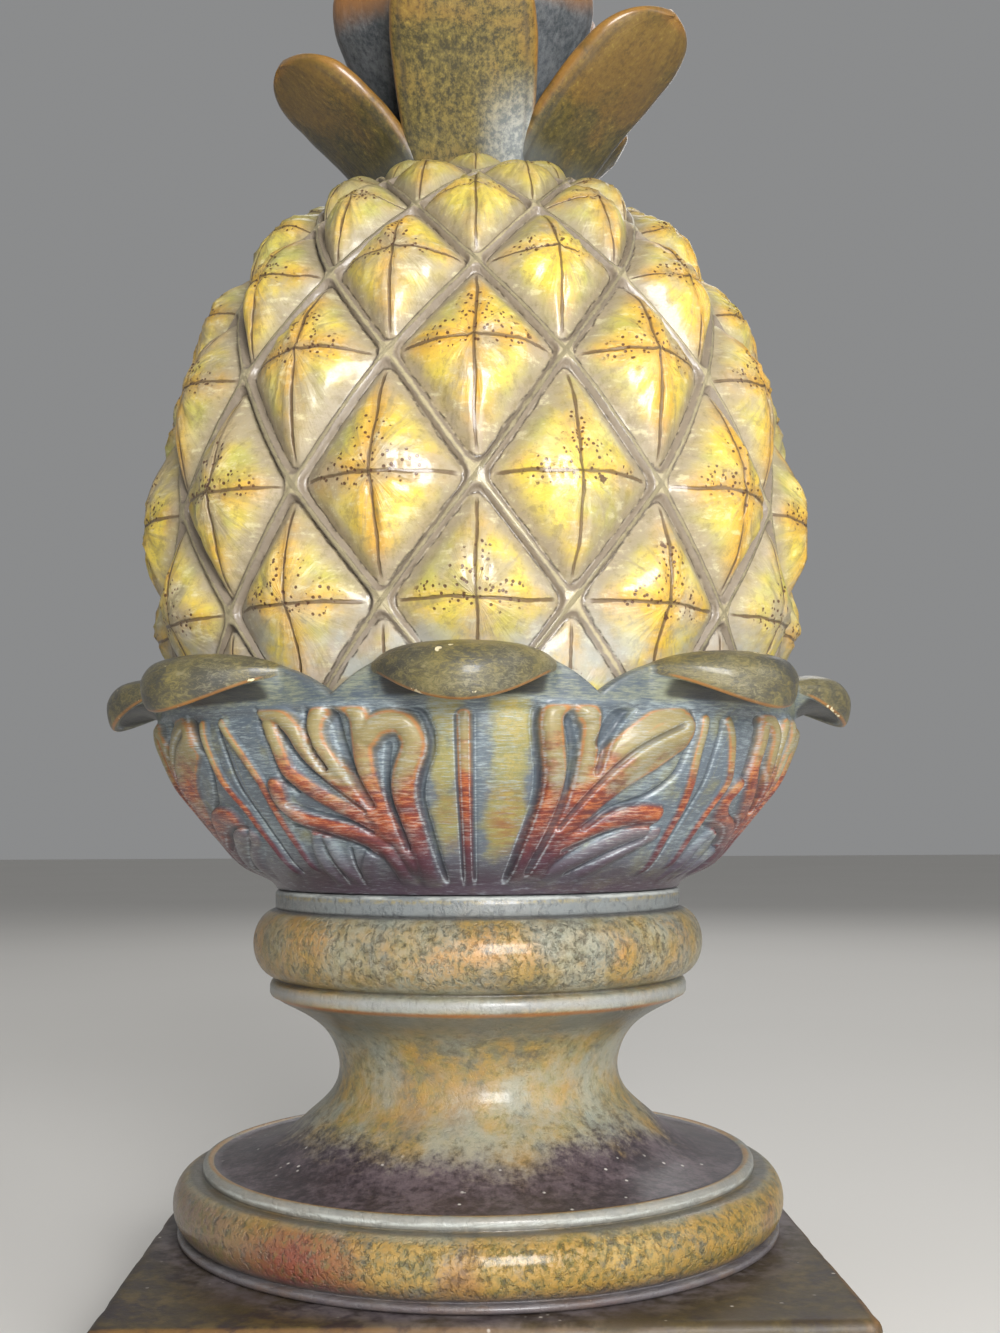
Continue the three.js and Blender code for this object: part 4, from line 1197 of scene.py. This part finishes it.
# %% Ledges, foot and varnish of the pedestal
collar_band = z_mm.step(117.4, 118.6)
color = mix(color, "6A7073", collar_band * (0.65 + dabs * 0.4))
color = mix(color, "8A7B48", z_mm.bump(122.4, 1.0) * grain.step(0.4, 0.6) * 0.7)
color = mix(color, "4A4D50", collar_band * pits.step(0.5, 0.62) * 0.5)
# Painted highlight: a pale line along the top edges of the collar, the foot ledge and the ridge.
ledge_highlight = z_mm.bump(123.4, 0.8) + z_mm.bump(28.2, 0.7) + z_mm.bump(45.4, 0.9) * r_mm.step(79.0, 80.0)
color = mix(color, "B9BCB6", ledge_highlight.low(1.0) * stroke.step(0.35, 0.6) * 0.75)
shadow_line = z_mm.bump(118.4, 0.9) + z_mm.bump(98.2, 0.8) + z_mm.bump(43.9, 0.6)
color = mix(color, "2D2826", shadow_line.low(1.0) * 0.7)
bead_band = z_mm.bump(95.6, 2.6) * r_mm.step(58.0, 60.0)
color = mix(color, "8C8D8B", bead_band * 0.8)
color = mix(color, "A2683A", z_mm.bump(93.0, 1.1) * r_mm.step(58.5, 60.5) * (0.4 + dabs))
under_bead = z_mm.step(82.0, 90.0) * (1 - z_mm.step(92.0, 92.8))
color = mix(color, "686B68", under_bead * (0.4 + cloudy * 0.5))
foot_band = 1 - (z_mm + dabs * 4.0).step(29.6, 35.0)
color = mix(color, "4E4650", foot_band * 0.8)
dust = m.node("ShaderNodeTexVoronoi", {"feature": "F1"}, {"Vector": place, "Scale": 260.0})
dusty = m.noise(moved(m, place, 0.1, 0.1, 0.8), 90.0, 2.0).step(0.56, 0.62)
specks = (1 - dust.step(0.09, 0.16)) * dusty * dish
color = mix(color, "C9C4BC", specks * 0.8)
rough = 0.34 + grain * 0.14 + dish * 0.1
pitting = pits.step(0.46, 0.7) * -0.45 * (rolls * 0.75 + 0.25) * (1 - dish)
small = pitting + spots * 0.3 + grain * 0.22 + stroke * 0.08
varnish(m, color, rough, small, 0.3)
print("pedestal finish has", len(pedestal_paint.node_tree.nodes), "nodes")

# %% [markdown]
# ## Finish of the plinth
#
# The slab is the darkest piece: purple-brown with an olive bloom, dusty on top, and
# rubbed back to orange-brown along its edges.

# %% Plinth finish
plinth_paint, m, place = new_finish("dark_plinth")
x, y, z = m.split(place)
broad = m.noise(place, 24.0, 3.0, 0.6)
dabs = m.noise(moved(m, place, 0.3, 0.1, 0.5), 60.0, 4.0, 0.65)
scuff = m.noise(moved(m, place, 0.6, 0.2, 0.1), 170.0, 5.0, 0.7)
fine = m.noise(place, 600.0, 3.0, 0.65)
color = mix("2E2423", "43381F", (broad * 0.6 + scuff * 0.5).step(0.42, 0.62))
color = mix(color, "6B5830", (dabs * 0.4 + scuff * 0.7).step(0.52, 0.7) * 0.4)
ring = ((x * x + y * y) ** 0.5 * 1000.0).bump(88.0, 12.0) * z.step(0.024, 0.0255)
color = mix(color, "6E666C", ring * (scuff + dabs).step(0.8, 1.2) * 0.7)
color = mix(color, "4A3D40", broad.step(0.5, 0.7) * 0.4)
side = abs(x).high(abs(y)) * 1000.0
worn = ((side.step(92.4, 93.8) * z.step(0.0225, 0.0255)) * (scuff + 0.25).step(0.45, 0.75)).low(1.0)
corner = (abs(x).low(abs(y)) * 1000.0).step(90.5, 93.0)
foot_edge = side.step(91.0, 93.5) * (1 - z.step(0.0005, 0.0035))
worn = worn.high(corner * scuff.step(0.35, 0.6)) + foot_edge * 0.4
color = mix(color, "76552F", worn.low(1.0) * 0.65)
dust = m.node("ShaderNodeTexVoronoi", {"feature": "F1"}, {"Vector": place, "Scale": 240.0})
specks = (1 - dust.step(0.08, 0.16)) * m.noise(place, 85.0, 2.0).step(0.55, 0.62)
color = mix(color, "BDB5AA", specks * 0.75)
rough = 0.5 + fine * 0.14
varnish(m, color, rough, scuff * 0.18 + fine * 0.08 - worn * 0.15, 0.08, 0.3)
print("plinth finish has", len(plinth_paint.node_tree.nodes), "nodes")

# %% [markdown]
# ## Finish of the crown
#
# Each leaf knows how far along and across it a spot lies. The blades are olive and ochre
# with a fine grain, the roots slate blue, and the tips and rims orange-brown. The front
# leaf is a lighter olive-gold, partly as painted light, and has a painted sheen low on one
# side. The inner leaves are slate with orange tips, their slate partly painted shade.

# %% Crown finish
crown_paint, m, place = new_finish("crown_leaves")
along, across, inner = attribute(m, "along"), attribute(m, "across"), attribute(m, "inner")
number = attribute(m, "number")
broad = m.noise(place, 32.0, 3.0, 0.6)
lane = m.noise(m.combine(across * 3.0, along * 1.3, number * 5.0), 2.2, 5.0, 0.68)
dabs = m.noise(moved(m, place, 0.3, 0.6, 0.5), 90.0, 4.0, 0.66)
fine = m.noise(place, 600.0, 3.0, 0.65)
grain = m.noise(streaked(m, place, 0.6), 620.0, 5.0, 0.8)
front = 1 - number.step(0.1, 0.4)
color = mix("39331A", "5A5026", (lane * 0.25 + dabs * 0.2 + grain * 0.55).step(0.42, 0.6))
# Partly painted light: the front leaf, which faces the main light, gets a lighter olive-gold than the
# others.
color = mix(color, "7C6C36", front * (broad * 0.3 + grain * 0.7).step(0.4, 0.6) * 0.85)
rusty = (broad * 0.8 + grain * 0.3 + along * 0.15).step(0.58, 0.76)
color = mix(color, "8A6426", rusty * (0.4 + front * 0.15))
color = mix(color, "A39144", (grain * 0.85 + dabs * 0.15).step(0.58, 0.7) * 0.6)
color = mix(color, "2E2B22", (1 - (grain * 0.7 + lane * 0.3).step(0.36, 0.5)) * 0.35)
root = 1 - (along + broad * 0.3 - 0.15).step(0.1, 0.3)
color = mix(color, "5A5F60", root * (0.6 - front * 0.45))
towards_tip = (along + dabs * 0.2).step(0.3, 0.66)
# Painted sheen: a pale grey patch low on one side of the front leaf, standing in for a glossy reflection.
painted_sheen = front * (across + (dabs - 0.5) * 0.6).step(0.0, 0.75) * (1 - towards_tip)
color = mix(color, mix("7C8488", "A9ADAB", grain.step(0.4, 0.6)), painted_sheen * (0.5 + broad * 0.5))
# Partly painted shade: the inner leaves, set back among the outer ones, are slate and kept darker.
inner_slate_and_shade = inner.step(0.1, 0.4)
color = mix(color, mix("353B41", "5D646B", (broad * 0.5 + grain * 0.5).step(0.4, 0.6)), inner_slate_and_shade * 0.85)
color = mix(color, "94632E", inner_slate_and_shade * (along + dabs * 0.1).step(0.84, 0.98) * 0.8)
rim = abs(across).step(0.93, 0.995).high(along.step(0.955, 0.99)) * along.step(0.1, 0.4)
color = mix(color, "96682C", rim * (dabs + 0.2).step(0.45, 0.75) * (0.5 - inner_slate_and_shade * 0.3))
color = mix(color, "34312E", abs(across).bump(0.86, 0.06) * (1 - along.step(0.8, 0.95)) * 0.4)
rough = 0.34 + fine * 0.1
varnish(m, color, rough, lane * 0.3 + dabs * 0.14 + fine * 0.05, 0.3, 0.15)
print("crown finish has", len(crown_paint.node_tree.nodes), "nodes")

# %% [markdown]
# ## Dressing the frame
#
# Each finished mesh stands for one solid of the frame. We give it its finish, hide the
# solid it replaces and hang it on the body that carries it.

# %% Pieces on the frame
dressing = [
    (plinth, plinth_paint, "plinth", "plinth_paint"),
    (pedestal, pedestal_paint, "pedestal", "pedestal_paint"),
    (cup, cup_paint, "leaf_cup", "cup_paint"),
    (fruit, fruit_paint, "fruit", "fruit_paint"),
    (crown, crown_paint, "crown", "crown_paint"),
]
for piece, finish, node, slot in dressing:
    piece.data.materials.clear()
    piece.data.materials.append(finish)
    piece.data.polygons.foreach_set("material_index", [0] * len(piece.data.polygons))
    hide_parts(node)
    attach(piece, "root")
print("dressed:", [piece.name for piece, *_ in dressing])

# %% [markdown]
# ## Floor, light and camera
#
# The floor is pale and plain. The strongest light stands near the camera, as in the
# photograph, and three weaker ones fill the sides and the back. The camera was fitted to
# the level ledges: it stands 459 mm in front of the axis and 143 mm up, and looks up by
# 6 degrees. The focal length is in pixels of the photograph, so it is scaled to the
# sensor.

# %% Floor and lights
FLOOR_REACH, LIGHTS_AIM = 6000, Vector((0, 0, 0.2))
floor_corners = [(x * FLOOR_REACH, y * FLOOR_REACH, 0) for x, y in ((-1, -1), (1, -1), (1, 1), (-1, 1))]
floor = make_mesh("floor", floor_corners, [[0, 1, 2, 3]])
floor_paint, m, place = new_finish("pale_floor")
grain = m.noise(place, 3.0, 2.0)
varnish(m, mix("D9D6D0", "DFDCD7", grain), 0.7 + grain * 0.05, grain * 0.0, 0.0)
floor.data.materials.append(floor_paint)
floor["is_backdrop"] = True


def soft_light(name, place, size, power):
    """A square area light at a place in metres, turned towards the statue."""
    data = bpy.data.lights.new(name, "AREA")
    data.size, data.energy = size, power
    lamp = bpy.data.objects.new(name, data)
    bpy.context.scene.collection.objects.link(lamp)
    lamp.location = place
    lamp.rotation_euler = (LIGHTS_AIM - Vector(place)).to_track_quat("-Z", "Y").to_euler()


soft_light("front", (0.2, -0.9, 0.36), 0.36, 13)
soft_light("left", (-1.3, -0.5, 0.9), 0.9, 1.0)
soft_light("right", (1.3, -0.5, 0.9), 0.9, 5.5)
soft_light("back", (0.2, 1.3, 1.2), 1.0, 6)
world = bpy.data.worlds.new("studio")
bpy.context.scene.world = world
world.use_nodes = True
world.node_tree.nodes["Background"].inputs["Color"].default_value = (0.86, 0.87, 0.88, 1)
world.node_tree.nodes["Background"].inputs["Strength"].default_value = 0.3
bpy.context.scene.view_settings.view_transform = "Standard"

# %% Camera
CAMERA_AWAY, CAMERA_UP = 0.4588, 0.1430
FOCAL_PIXELS, PICTURE_HEIGHT, SENSOR_MM = 1500, 1333, 36.0
pitch, yaw, roll_angle = math.radians(5.974), math.radians(0.87), math.radians(-0.283)
sy, cy, sp, cp = math.sin(yaw), math.cos(yaw), math.sin(pitch), math.cos(pitch)
ahead = np.array([cp * sy, cp * cy, sp])
right = np.array([cy, -sy, 0])
upward = np.array([-sp * sy, -sp * cy, cp])
c, s = math.cos(roll_angle), math.sin(roll_angle)
right, upward = c * right + s * upward, c * upward - s * right
data = bpy.data.cameras.new("camera")
data.sensor_width, data.lens = SENSOR_MM, FOCAL_PIXELS * SENSOR_MM / PICTURE_HEIGHT
data.clip_start, data.clip_end = 0.01, 30
camera = bpy.data.objects.new("camera", data)
bpy.context.scene.collection.objects.link(camera)
turn = Matrix([[right[k], upward[k], -ahead[k]] for k in range(3)])
camera.matrix_world = Matrix.Translation((0, -CAMERA_AWAY, CAMERA_UP)) @ turn.to_4x4()
bpy.context.scene.camera = camera
print("camera lens in mm:", round(data.lens, 2))

# %% Print the dressed size
low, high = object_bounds()
print("dressed in mm:", [round((b - a) * 1000, 1) for a, b in zip(low, high)])
